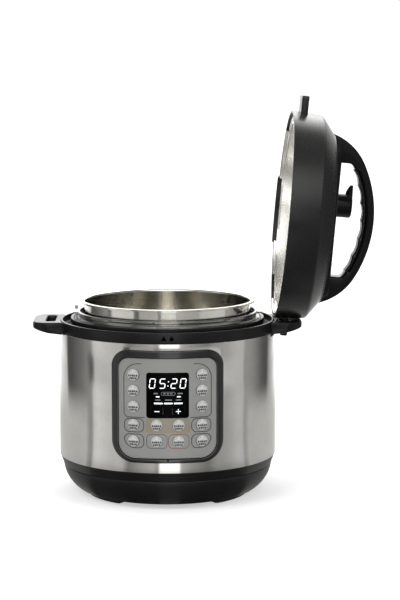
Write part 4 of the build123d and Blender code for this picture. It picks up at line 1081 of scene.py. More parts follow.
@dataclass
class TopRing:
    """Black ring over the wrap: lip, drip trough, inner wall, spout and lid stop pin."""

    radius: float = 121.5  # outside at its foot
    low: float = 184.0
    high: float = 196.0  # top of its lip
    draft: float = 1.5  # how much smaller the lip is
    trough_outer: float = 117.6
    trough_inner: float = 108.5
    trough_level: float = 188.0
    wall_inner: float = 104.5
    wall_top: float = 198.5
    ledge: float = 196.3  # ledge that the liner hangs on
    ledge_width: float = 5.5
    ledge_thickness: float = 2.0
    floor: float = 2.5  # thickness under the trough
    spigot: float = 120.6  # collar that stands down inside the wrap
    spigot_wall: float = 2.0
    spigot_fall: float = 10.0
    spout_half: float = 12.0
    spout_near: float = 118.3
    spout_far: float = 133.5
    channel: Point2 = (20.4, 16.5)
    channel_middle: float = 123.5
    drip: Point2 = (0.0, 127.7)  # place of the drip hole
    drip_radius: float = 3.0
    pin_angle: float = 163.0
    pin_radius: float = 1.7
    pin_low: float = 186.5
    pin_top: float = 207.0
    mark_back: float = 119.0
    mark_face: float = 121.28
    mark_x: Point2 = (-4.0, 4.4)  # middles of the triangle and the padlock
    mark_low: float = 186.5
    mark_lean: float = 0.125  # how fast the mark follows the ring's draft

    def build(self) -> None:
        """Make the ring, its pin and its mark."""
        spigot, level, wall, ledge = self.spigot, self.trough_level, self.wall_inner, self.ledge
        collar, foot, under = spigot - self.spigot_wall, self.low - self.spigot_fall, level - self.floor
        reach, rim, below = wall - self.ledge_width, self.wall_top, ledge - self.ledge_thickness
        line = rounded([
            (self.radius, self.low, 0.3), (self.radius - self.draft, self.high, 0.9),
            (self.trough_outer, self.high, 0.6), (self.trough_outer, level, 1.6),
            (self.trough_inner, level, 1.6), (self.trough_inner, rim, 0.9), (wall, rim, 0.9),
            (wall, ledge, 0.2), (reach, ledge, 0.2), (reach, below, 0.2), (wall, below, 0.2),
            (wall, under, 0.3), (collar, under, 0.3), (collar, foot, 0.2), (spigot, foot, 0.2),
            (spigot, self.low, 0)], step=22)
        made = Shape().lathe(line, 224).bare("top_ring")
        spout = slab(-self.spout_half, self.spout_half, self.spout_near, self.spout_far, (0, 0, 4, 4))
        combine(made, Shape().prism(spout, self.trough_level - 1.8, self.high - 2, low_edge=0.6,
                                    high_edge=0.5), "UNION")
        channel = box(*self.channel, 2, 0, self.channel_middle)
        combine(made, Shape().prism(channel, self.trough_level, self.high - 1.99))
        combine(made, Shape().prism(circle(self.drip_radius, *self.drip, 32), 180, 190))
        dress(made, RING_PLASTIC, "upper_ring")
        self.pin()
        self.mark()

    def pin(self) -> None:
        """Steel pin that stops the lid's turn."""
        line = slab(0, self.pin_radius, self.pin_low, self.pin_top, (0, 0.2, 0.8, 0), 15)
        shape = Shape().lathe(line, 40).shift(*polar(self.trough_inner + 0.1, self.pin_angle))
        shape.piece("stop_pin", SMALL_STEEL, "lid_stop_pin")

    def mark(self) -> None:
        """Small raised triangle and padlock that show where the lid lines up."""
        (x, lock), side, ends = self.mark_x, 3.4, (self.mark_back, self.mark_face)
        line = rounded([(x - side, 187.6, 0.4), (x + side, 187.6, 0.4), (x, 193.0, 0.4)])
        shape = Shape().prism(line, *ends, high_edge=0.25)
        shape.add(Shape().prism(box(4.2, 3.4, 0.5, lock, 189.2), *ends, high_edge=0.2))
        shape.add(Shape().prism(circle(1.5, lock, 191.2, 24), *ends, [circle(0.8, lock, 191.2, 24)]))
        shape.wrap_round(1.5)
        for vert in shape.mesh.verts:
            draw = 1 - (vert.co.z - self.mark_low) * self.mark_lean / hypot(vert.co.x, vert.co.y)
            vert.co.x, vert.co.y = vert.co.x * draw, vert.co.y * draw
        shape.piece("lid_mark", INK_BLACK)


@dataclass
class SideHandles:
    """Two carry handles with the slots that the stored lid stands in."""

    reach: float = 150.0  # outer ends from the axis
    width: float = 77.0
    top: float = 196.0
    tip: float = 7.5  # thickness at the end
    root: float = 14.0  # thickness at the ring
    corner: float = 18.0
    slot_center: float = 130.7
    slot: Point2 = (10.0, 48.0)
    inside: float = 110.0
    ring_radius: float = 121.65
    ring_low: float = 184.0
    ring_draft: float = 1.5

    def build(self) -> None:
        """Make both handles."""
        for angle, node in ((0.0, "right_handle"), (180.0, "left_handle")):
            self.handle().turn(angle).piece(f"{node}_moulding", RING_PLASTIC, node)

    def handle(self) -> Shape:
        """One handle on the right, its inner side hollowed to the ring."""
        half = self.width / 2
        lean = degrees(atan2(half, self.ring_radius)) * 0.97
        outline = slab(self.inside, self.reach, -half, half, (0, self.corner, self.corner, 0), 6)[1:-1]
        outline += arc(self.ring_radius, lean, -lean)
        slot = box(*self.slot, 3.0, self.slot_center, 0)
        shape = Shape().prism(outline, self.top - self.root, self.top, [slot], 1.6, 2.2)
        slope = (self.root - self.tip) / (self.reach - self.ring_radius - 2)
        for vert in shape.mesh.verts:
            x, y, z = vert.co
            if z < self.top - self.root / 2:
                vert.co.z += max(0.0, x - self.ring_radius - 2) * slope
            if hypot(x, y) < self.ring_radius + 0.3:
                rise = max(0.0, z - self.ring_low) / (self.top - self.ring_low)
                scale = (self.ring_radius - self.ring_draft * rise) / hypot(x, y)
                vert.co.x, vert.co.y = x * scale, y * scale
        return shape


@dataclass
class HeatingParts:
    """Liner, bayonet flange and heater under the pot."""

    liner_radius: float = 96.0
    liner_wall: float = 1.0
    liner_floor: float = 84.0
    liner_rim: float = 104.0
    floor_hole: float = 30.0
    flange_level: float = 197.3  # top of the liner's rim
    flange_top: float = 205.6
    flange_inner: float = 98.0
    flange_wall: float = 2.2
    flange_foot: float = 1.2
    flange_body: float = 101.5  # outside between the lobes
    lobe_radius: float = 106.3
    lobe_thickness: float = 2.8
    lobes: int = 8
    lobe_half: float = 8.0  # half the angle of a lobe in degrees
    lobe_ease: float = 1.6  # degrees over which a lobe's end rises
    heater_radius: float = 86.0
    heater_top: float = 96.0
    heater_hole: float = 13.9
    rings: int = 34  # turned rings on the heater's face
    leg_angles: tuple[float, ...] = (30.0, 150.0, 270.0)
    leg_circle: float = 40.0
    terminal: float = 65.0

    def build(self) -> None:
        """Make the liner, the flange and the heater."""
        self.liner()
        self.flange()
        self.heater()

    def liner(self) -> None:
        """Drawn steel liner with its rim."""
        inner, outer = self.liner_radius, self.liner_radius + self.liner_wall
        rim, high = self.liner_rim, self.flange_level
        low, hole = self.liner_floor - 1, self.floor_hole
        line = rounded([(hole, low, 0), (outer, low, 6), (outer, high - 1, 1.0), (rim, high - 1, 0.2),
                        (rim, high, 0.3), (inner, high, 0.8), (inner, low + 1, 5), (hole, low + 1, 0)],
                       step=15)
        Shape().lathe(line, 160).piece("drawn_liner", LINER_STEEL, "cooker_liner")

    def lobe_reach(self, radius: float, height: float, angle: float) -> float:
        """Radius of the flange, drawn out at each lobe.

        Args:
            radius: radius of the point between the lobes.
            height: its height.
            angle: its angle in degrees.

        Returns:
            Its radius.
        """
        if radius <= self.flange_body - 0.01 or height < self.flange_top - self.lobe_thickness - 0.3:
            return radius
        pitch = FULL_TURN / self.lobes
        away = abs((angle + pitch / 2) % pitch - pitch / 2)
        share = max(0.0, min(1.0, (self.lobe_half + self.lobe_ease / 2 - away) / self.lobe_ease))
        share = share * share * (3 - 2 * share)
        return radius + (self.lobe_radius - self.flange_body) * share

    def flange(self) -> None:
        """Polished ring whose lobes hold the lid's tabs; its steel is painted dark as shade under the pot's
        rim.
        """
        inner, low, high = self.flange_inner, self.flange_level, self.flange_top
        wall, rim, foot = inner + self.flange_wall, self.liner_rim - 0.5, low + self.flange_foot
        shelf = high - self.lobe_thickness
        line = rounded([
            (inner, low, 0), (rim, low, 0), (rim, foot, 0.3), (wall, foot, 0.6), (wall, shelf, 0.8),
            (self.flange_body, shelf, 0.5), (self.flange_body, high, 0.9), (inner, high, 0.9)], step=22)
        shape = Shape().lathe(line, 480, self.lobe_reach)
        shape.piece("bayonet_ring", FLANGE_STEEL_PAINTED_SHADE, "bayonet_flange", sharp=40)

    def heater(self) -> None:
        """Cast heater with turned rings on its face, its legs and its terminals."""
        top, radius, hole = self.heater_top, self.heater_radius, self.heater_hole
        web, groove = top - 6, top - 10
        face = [(radius - 1.2 - k * 2.0, top - 0.12 * (k % 2)) for k in range(self.rings)]
        line = [(hole, web), (50, web), (54, groove), (76, groove), (80, web), (radius, top - 4),
                (radius, top - 0.8), *face, (hole, top)]
        shape = Shape().lathe(line, 128)
        for angle in self.leg_angles:
            shape.prism(circle(5, *polar(self.leg_circle, angle)), self.liner_floor, web + 1, low_edge=0.5)
        for side in SIDES:
            shape.prism(circle(3, side * self.terminal, 0, 24), top - 22, top - 9, low_edge=0.6)
        shape.piece("cast_heater", HEATER_METAL, "heating_plate")


@dataclass
class InnerPot:
    """Drawn steel pot with a rolled rim and pressed level lines."""

    radius: float = 92.5  # its inside
    wall: float = 0.8
    low: float = 96.1
    high: float = 217.6
    rim_radius: float = 98.4
    rim_drop: float = 2.2
    corner: float = 9.0
    support: float = 3.2  # depth at which the straight wall starts
    lines: Point2 = (170.0, 148.0)
    line_depth: float = 0.25

    def build(self) -> None:
        """Make the pot."""
        inner, out, rim, high = self.radius, self.radius + self.wall, self.rim_radius, self.high
        lip, floor = rim - 0.9, self.low + self.wall
        line = rounded([(0, self.low, 0), (out, self.low, self.corner), (out, self.low + 14, 0),
                        (out, high - self.support, 0), (out, high - 0.9, 1.2), (lip, high - 0.9, 0.3),
                        (lip, high - self.rim_drop, 0.1), (rim, high - self.rim_drop, 0.2), (rim, high, 0.7),
                        (inner, high, 2.6), (inner, high - self.support, 0), (inner, 175.0, 0)],
                       closed=False, step=12)
        for level in self.lines:
            line += [(inner, level + 0.9), (inner - self.line_depth, level + 0.4),
                     (inner - self.line_depth, level - 0.4), (inner, level - 0.9)]
        line += rounded([(inner, 140, 0), (inner, floor, self.corner - self.wall), (0, floor, 0)],
                        closed=False, step=12)
        Shape().lathe(line, 224).piece("drawn_pot", POT_STEEL, "inner_pot", body=Body.POT, sharp=40)


# Control panel

@dataclass
class ControlPanel:
    """Curved panel with its bezel, film, printed lines, window, digits and keys.

    Places on the panel are a column, from its middle, and a height.
    """

    face: float = 122.4  # radius of the face that carries the film
    shell: float = 121.5  # radius of the wrap
    center: float = 116.6  # height of the bezel's middle
    film_center: float = 114.8
    window_center: float = 129.3
    bezel: Point2 = (120.0, 122.0)
    body_back: float = 117.5
    film: Point2 = (105.0, 108.0)
    window: Point2 = (45.0, 48.6)
    connector: Point2 = (41.0, 21.0)  # opening for the display
    connector_rise: float = 13.0
    fit: float = 0.6  # what a hole is wider than what stands in it
    proud: float = 3.75  # of the bezel over the wrap
    outer_column: float = 36.5
    inner_column: float = 11.7
    side_rows: tuple[float, ...] = (151.0, 134.0, 116.8)
    full_rows: tuple[float, ...] = (97.0, 79.3)
    adjust_column: float = 11.2
    adjust_row: float = 112.2
    key_hole: float = 6.35
    stem_hole: float = 2.7
    stem: float = 1.7
    stem_ends: Point2 = (-10.0, 0.7)
    cap_low: float = 0.6
    # Radius and height of the key's dome, from its middle to its edge
    cap: tuple[Point2, ...] = ((0, 2.3), (1.6, 2.27), (3.0, 2.17), (4.2, 2.02), (5.2, 1.82), (6.0, 1.56),
                               (6.2, 1.42))
    line: float = 0.85  # width of the dark lines
    thin_line: float = 0.6
    line_side: Point2 = (25.2, 46.8)  # columns between which a side key's line runs
    line_rows: tuple[Point2, ...] = ((88.8, 104.2), (71.6, 87.3))
    digit_row: float = 142.4
    digit_half: Point2 = (2.8, 5.0)
    digit_bar: float = 0.95
    digit_lean: float = 0.13

    def build(self) -> None:
        """Make every piece of the panel."""
        self.bezel_frame()
        self.film_sheet()
        self.window_lens()
        self.printed_lines()
        self.display()
        for number, (column, row) in enumerate(self.menu_keys(), start=1):
            self.menu_key(f"key_{number:02d}", column, row)
        self.adjust_key("key_minus", -self.adjust_column)
        self.adjust_key("key_plus", self.adjust_column)

    def menu_keys(self) -> Loop:
        """Column and height of the menu keys, row by row."""
        outer, inner = self.outer_column, self.inner_column
        keys = [(column, row) for row in self.side_rows for column in (-outer, outer)]
        return keys + [(column, row) for row in self.full_rows for column in (-outer, -inner, inner, outer)]

    def ink(self) -> Point2:
        """Radii between which a print on the film lies."""
        return self.face + 1.25, self.face + 1.36

    def bezel_frame(self) -> None:
        """Gloss bezel: a proud frame over a body that fills the wrap's opening."""
        (width, height), (film_width, film_height) = self.bezel, self.film
        outline = box(width, height, 18, 0, self.center, 24, 5)
        recess = box(film_width + self.fit, film_height + self.fit, 11, 0, self.film_center, 17, 5)
        low, high = self.shell + 0.1, self.shell + self.proud
        shape = Shape().prism(outline, low, high, [recess], 0, 1.7, 4).wrap_round()
        body = box(width - 8, height - 8, 14, 0, self.center, 20)
        stems = self.menu_keys() + [(side * self.adjust_column, self.adjust_row) for side in SIDES]
        holes = [box(*self.connector, 0.5, 0, self.window_center + self.connector_rise)]
        holes += [circle(self.stem_hole, column * 0.98, row, 20) for column, row in stems]
        shape.add(Shape().prism(body, self.body_back, self.face, holes).wrap_round(4))
        shape.piece("panel_frame", BEZEL_PLASTIC, "panel_bezel")

    def film_sheet(self) -> None:
        """Metallic film with a hole for each key and the window."""
        outline = box(*self.film, 11, 0, self.film_center, 17, 5)
        width, height = self.window
        holes = [box(width + self.fit, height + self.fit, 3, 0, self.window_center)]
        holes += [circle(self.key_hole, column, row, 40) for column, row in self.menu_keys()]
        shape = Shape().prism(outline, self.face + 0.1, self.face + 1.3, holes, 0, 0.25, 2).wrap_round()
        shape.piece("panel_film", OVERLAY_FILM, "panel_overlay")

    def window_lens(self) -> None:
        """Black gloss window with openings for the two adjusting keys."""
        outline = box(*self.window, 3, 0, self.window_center)
        holes = [box(13, 9, 2, side * self.adjust_column, self.adjust_row) for side in SIDES]
        shape = Shape().prism(outline, self.face + 0.1, self.face + 1.7, holes, 0, 0.3, 2).wrap_round()
        shape.piece("display_lens", WINDOW_PLASTIC, "display_window")

    def line_ring(self, left: float, right: float, rows: Point2, radius: float, width: float,
                  corner: float | None = None) -> Shape:
        """Thin printed line round a box on the film.

        Args:
            left: column of its left side.
            right: column of its right side.
            rows: heights of its lower and its upper side.
            radius: rounding of its corners.
            width: width of the line.
            corner: rounding of its lower left corner, if that one follows the panel's.

        Returns:
            The line as a flat shape.
        """
        first = radius if corner is None else corner
        outline = slab(left, right, *rows, (first, radius, radius, radius))
        return Shape().prism(outline, *self.ink(), [offset(outline, width)])

    def printed_lines(self) -> None:
        """Lines round the groups of keys, a tinted block and a small dot."""
        dark = Shape()
        near, far = self.line_side
        upper, lower = self.line_rows
        for side in SIDES:
            dark.add(self.bracket(side))
            left, right = sorted((side * near, side * far))
            dark.add(self.line_ring(left, right, upper, 6, self.line))
            ring = self.line_ring(-far, -near, lower, 6, self.line, corner=11)
            if side > 0:
                ring.place(Matrix.Scale(-1.0, 4, (1, 0, 0)))
                bmesh.ops.reverse_faces(ring.mesh, faces=ring.mesh.faces)
            dark.add(ring)
        dark.wrap_round().piece("panel_lines", INK_DARK)
        for left, right, name, ink in ((-22.9, -0.4, "left", INK_BLUE), (0.6, 23.1, "right", INK_RED)):
            ring = self.line_ring(left, right, lower, 5, self.thin_line).wrap_round()
            ring.piece(f"panel_line_{name}", ink)
        tint = box(48.0, 15.8, 3, 0.3, 96.5)
        holes = [circle(self.key_hole, side * self.inner_column, self.full_rows[0], 40) for side in SIDES]
        Shape().prism(tint, *self.ink(), holes).wrap_round().piece("panel_tint", INK_TINT)
        front = self.shell + self.proud
        dot = Shape().prism(circle(1.0, 0.2, 58.9, 24), front - 0.1, front + 0.04).wrap_round()
        dot.piece("bezel_dot", INK_BLACK)

    def bracket(self, side: int) -> Shape:
        """Line round a side column of keys, open towards the window.

        Args:
            side: -1 for the left column and 1 for the right one.

        Returns:
            The line as a flat shape.
        """
        path = rounded([(side * 28.0, 162.8, 0), (side * 46.3, 162.8, 15), (side * 46.3, 105.6, 4.5),
                        (side * 24.5, 105.6, 0)], closed=False, step=6)
        inner = []
        for index, (x, y) in enumerate(path):
            (ax, ay), (bx, by) = path[max(0, index - 1)], path[min(len(path) - 1, index + 1)]
            along = Vector((bx - ax, by - ay)).normalized()
            inner.append((x - along.y * side * self.line, y + along.x * side * self.line))
        return Shape().prism(path + inner[::-1], *self.ink())

    def display(self) -> None:
        """Lit digits, a faint pill and small bars on the window."""
        lit, ends = Shape(), (self.face + 1.66, self.face + 1.78)
        for x, digit in ((-16.3, "0"), (-5.4, "5"), (6.8, "2"), (16.5, "0")):
            for bar in self.segments(digit, x, self.digit_row):
                lit.add(Shape().prism(bar, *ends))
        for off in (-2.6, 2.0):
            dot = circle(0.6, 0.7 + off * self.digit_lean, self.digit_row + off, 12)
            lit.add(Shape().prism(dot, *ends))
        for x, y, w, h in ((-10.6, 128.1, 3.9, 1.2), (11.9, 128.1, 3.9, 1.2), (-9.9, 120.9, 9.2, 1.5),
                           (0.7, 120.9, 9.2, 1.5), (11.3, 120.9, 9.2, 1.5)):
            lit.add(Shape().prism(box(w, h, 0.3, x, y), *ends))
        lit.wrap_round(1.5).piece("display_digits", DIGIT_LIGHT)
        pill = box(15.4, 3.8, 1.8, 0.6, 131.4)
        faint = Shape().prism(pill, *ends, [offset(pill, 0.45)])
        for x, y, w, h in ((-3.4, 131.4, 2.6, 1.1), (0.2, 131.4, 2.0, 1.1), (3.9, 131.4, 2.8, 1.1),
                           (-12.6, 131.6, 4.6, 1.3), (13.4, 131.6, 5.4, 1.3), (-10.6, 124.6, 5.8, 1.1),
                           (0.9, 124.6, 7.4, 1.1), (11.5, 124.6, 5.8, 1.1)):
            faint.add(Shape().prism(box(w, h, 0.3, x, y), *ends))
        faint.wrap_round().piece("display_pill", FAINT_LIGHT)

    def segments(self, digit: str, x: float, y: float) -> list[Loop]:
        """Bars of a leaning seven-segment digit.

        Args:
            digit: the digit.
            x: column of its middle.
            y: height of its middle.

        Returns:
            Outline of each lit bar.
        """
        lit = {"0": "abcdef", "2": "abdeg", "5": "acdfg"}[digit]
        w, h = self.digit_half
        ends = {"a": ((-w, h), (w, h)), "g": ((-w, 0), (w, 0)), "d": ((-w, -h), (w, -h)),
                "f": ((-w, h), (-w, 0)), "b": ((w, h), (w, 0)), "e": ((-w, 0), (-w, -h)),
                "c": ((w, 0), (w, -h))}
        bars = []
        for name in lit:
            a, b = (Vector(end) for end in ends[name])
            along = (b - a).normalized()
            side, taper = Vector((-along.y, along.x)) * self.digit_bar / 2, along * self.digit_bar / 2
            a, b = a + along * 0.25, b - along * 0.25
            points = [a, a + taper + side, b - taper + side, b, b - taper - side, a + taper - side]
            bars.append([(x + p.x + p.y * self.digit_lean, y + p.y) for p in points])
        return bars

    def key_place(self, column: float, row: float) -> Matrix:
        """Frame of a key: +Z out of the panel and +Y up.

        Args:
            column: its place across the panel.
            row: its height.

        Returns:
            The matrix from the key's frame to the cooker's.
        """
        angle = atan2(column, sqrt(self.face ** 2 - column ** 2))
        out = Vector((sin(angle), -cos(angle), 0))
        across = Vector((cos(angle), sin(angle), 0))
        turn = Matrix((across, (0, 0, 1), out)).transposed().to_4x4()
        return Matrix.Translation((*(out * self.face).xy, row)) @ turn

    def cap_level(self, x: float, y: float) -> float:
        """Height of a key's dome at a place on it.

        Args:
            x: distance from its middle across the panel.
            y: distance above its middle.

        Returns:
            The height over the panel's face.
        """
        reach = hypot(x, y)
        for (a, high), (b, low) in zip(self.cap, self.cap[1:]):
            if reach <= b:
                return high + (low - high) * (reach - a) / (b - a)
        return self.cap[-1][1]

    def menu_key(self, name: str, column: float, row: float) -> None:
        """Domed film key on its stem, with two rows of printed bars and a painted highlight on its dome.

        Args:
            name: the key's node.
            column: its place across the panel.
            row: its height.
        """
        place, body = self.key_place(column, row), f"body_{name}"
        shape = Shape().lathe([(0, self.cap_low), (self.cap[-1][0], self.cap_low), *reversed(self.cap)], 56)
        shape.prism(circle(self.stem, count=20), *self.stem_ends)
        shape.place(place).piece(f"{name}_cap", KEY_FILM, name, body=body, sharp=60)
        marks = Shape()
        for y, widths in ((-0.7, (1.7, 1.2, 2.1, 1.4, 1.8)), (-3.5, (1.5, 2.0, 1.2, 1.6))):
            x = -(sum(widths) + 0.5 * (len(widths) - 1)) / 2
            for width in widths:
                middle = x + width / 2
                for line in (y - 0.62, y, y + 0.62):
                    level = self.cap_level(middle, line)
                    strip = box(width, 0.66, 0.05, middle, line, step=45)
                    marks.prism(strip, level - 0.25, level + 0.1)
                x += width + 0.5
        marks.place(place).piece(f"{name}_bars", INK_DARK, body=body)
        # Painted highlight: a pale triangle on the dome's upper half, where light would catch it
        light = rounded([(0, 5.9, 0.7), (-4.9, 0.9, 0.5), (4.9, 0.9, 0.5)], step=15)
        rows = [[(x, y, self.cap_level(x, y) - 0.1) for x, y in light]]
        for share in (1.0, 0.8, 0.6, 0.4, 0.2, 0.02):
            row_points = [(x * share, 2.4 + (y - 2.4) * share) for x, y in light]
            rows.append([(x, y, self.cap_level(x, y) + 0.03) for x, y in row_points])
        Shape().loft(rows).place(place).piece(f"{name}_light", KEY_PAINTED_HIGHLIGHT, body=body)

    def adjust_key(self, name: str, column: float) -> None:
        """Black key in the window with a minus or plus sign.

        Args:
            name: the key's node.
            column: its place across the panel.
        """
        place, body = self.key_place(column, self.adjust_row), f"body_{name}"
        shape = Shape().prism(box(12.4, 8.4, 2), self.cap_low, 2.2, high_edge=0.5)
        shape.prism(circle(self.stem, count=20), *self.stem_ends)
        shape.place(place).piece(f"{name}_cap", WINDOW_PLASTIC, name, body=body)
        ends = (2.15, 2.28)
        sign = Shape().prism(box(5.4, 0.75, 0.2), *ends)
        if name == "key_plus":
            for side in SIDES:
                sign.prism(box(0.75, 2.3, 0.1, 0, side * 1.55), *ends)
        sign.place(place).piece(f"{name}_sign", DIGIT_LIGHT, body=body)


# Back of the cooker

@dataclass
class CondensationCollector:
    """Clear cup that slides on two runners at the back."""

    width: float = 51.0
    depth: float = 16.5
    height: float = 49.5
    back: float = 125.2  # distance of its back from the axis
    top: float = 171.6
    wall: float = 1.5
    foot: float = 2.5  # rounding under it
    corner: float = 5.0
    flange: float = 4.2  # how far its rails reach out
    shell: float = 121.5
    runner_wall: float = 1.8
    runner_length: float = 13.0
    gap: float = 0.3
    plate_height: float = 20.0
    plate_thickness: float = 2.2

    def build(self) -> None:
        """Make the cup and its bracket."""
        self.cup()
        self.bracket()

    def plan(self, inset: float) -> Loop:
        """Outline of the cup in plan, moved inwards."""
        half, soft = self.width / 2 - inset, max(0.5, self.corner - inset)
        return slab(-half, half, self.back + inset, self.back + self.depth - inset, (0.6, 0.6, soft, soft))

    def cup(self) -> None:
        """Hollow cup, open at the top, with its rails and its pull."""
        low, high, wall, foot = self.top - self.height, self.top, self.wall, self.foot
        angles = [radians(22.5 * k) for k in range(5)]
        levels = [(foot * (1 - cos(a)), low + foot * (1 - sin(a))) for a in angles]
        levels += [(0.0, high - 0.3), (0.3, high), (wall - 0.3, high), (wall, high - 0.3),
                   (wall, low + wall + 1.6), (wall + 0.5, low + wall + 0.5), (wall + 1.6, low + wall)]
        shape = Shape().loft([[(x, y, z) for x, y in self.plan(inset)] for inset, z in levels])
        half, rail = self.width / 2 - 0.2, self.width / 2 + self.flange
        end = self.back + self.runner_length - 1
        for side in SIDES:
            a, b = sorted((side * half, side * rail))
            line = slab(a, b, self.back, end, (0.4, 0.4, 0.8, 0.8))
            shape.prism(line, high - wall, high, low_edge=0.3, high_edge=0.3)
        pull = box(22, 1.6, 0.7, 0, self.back + self.depth - 0.9)
        shape.prism(pull, high - 7.0, high - 4.5, low_edge=0.4, high_edge=0.4)
        shape.piece("collector_cup", COLLECTOR_PLASTIC, "condensation_collector", body=Body.COLLECTOR)

    def bracket(self) -> None:
        """Curved plate with a C-shaped runner on each side."""
        inner = self.width / 2 + self.gap
        groove = self.width / 2 + self.flange + self.gap
        outer, roof, sill = groove + self.runner_wall, self.top + self.gap, self.top - self.wall - self.gap
        low, high = sill - self.runner_wall, roof + self.runner_wall
        plate = box(2 * outer, self.plate_height, 1.2, 0, high - self.plate_height / 2)
        near = self.shell + 0.1
        shape = Shape().prism(plate, near, near + self.plate_thickness, high_edge=0.4).wrap_round()
        shape.turn(180)
        for side in SIDES:
            line = [(inner, low), (outer, low), (outer, high), (inner, high), (inner, roof), (groove, roof),
                    (groove, sill), (inner, sill)]
            runner = Shape().prism([(side * x, z) for x, z in line], -(self.back + self.runner_length),
                                   -(self.shell - 1.5), low_edge=0.3)
            shape.add(runner.stand())
        made = shape.bare("collector_runners")
        combine(made, Shape().prism(circle(near, count=160), 140, 190))
        dress(made, RING_PLASTIC, "collector_bracket")


@dataclass
class PowerInlet:
    """Recessed inlet with three pins in the back of the base."""

    face: float = 121.5  # distance of the base's flat from the axis
    level: float = 25.0
    flange: Point2 = (36.0, 27.0)
    flange_thickness: float = 1.6
    mouth: Point2 = (24.5, 16.5)
    body_wall: float = 2.4
    bevel: float = 0.5
    depth: float = 17.0
    pitch: float = 7.0
    pin: Point2 = (2.0, 4.0)
    pin_lift: float = 1.5  # how far the middle pin stands over the middle
    pin_ends: Point2 = (14.0, 9.0)  # reach behind and before the recess's floor

    def build(self) -> None:
        """Make the inlet and its pins."""
        front = self.face + self.flange_thickness
        floor, (width, height), bevel = front - self.depth, self.mouth, self.bevel
        body = (width + 2 * self.body_wall, height + 2 * self.body_wall)
        top = (self.flange[0] - 2 * bevel, self.flange[1] - 2 * bevel)
        lip = (width + 2 * bevel, height + 2 * bevel)
        loops = [(body, 1.0, floor - 3), (body, 1.0, self.face), (self.flange, 4.0, self.face),
                 (self.flange, 4.0, front - bevel), (top, 3.5, front), (lip, 3.0, front),
                 (self.mouth, 2.5, front - 0.6), (self.mouth, 2.5, floor)]
        rows = [[(-x, y, z) for x, z in box(*size, radius, 0, self.level)]
                for size, radius, y in loops]
        Shape().loft(rows).piece("inlet_socket", INLET_PLASTIC, "power_inlet")
        pins = Shape()
        behind, before = self.pin_ends
        for x in (-self.pitch, 0, self.pitch):
            lift = -self.pin_lift if x else self.pin_lift
            line = box(*self.pin, 0.4, x, self.level + lift)
            pins.prism(line, -(floor + behind), -(floor - before), low_edge=0.6)
        pins.stand().piece("inlet_blades", PIN_BRASS, "inlet_pins")


# Lid

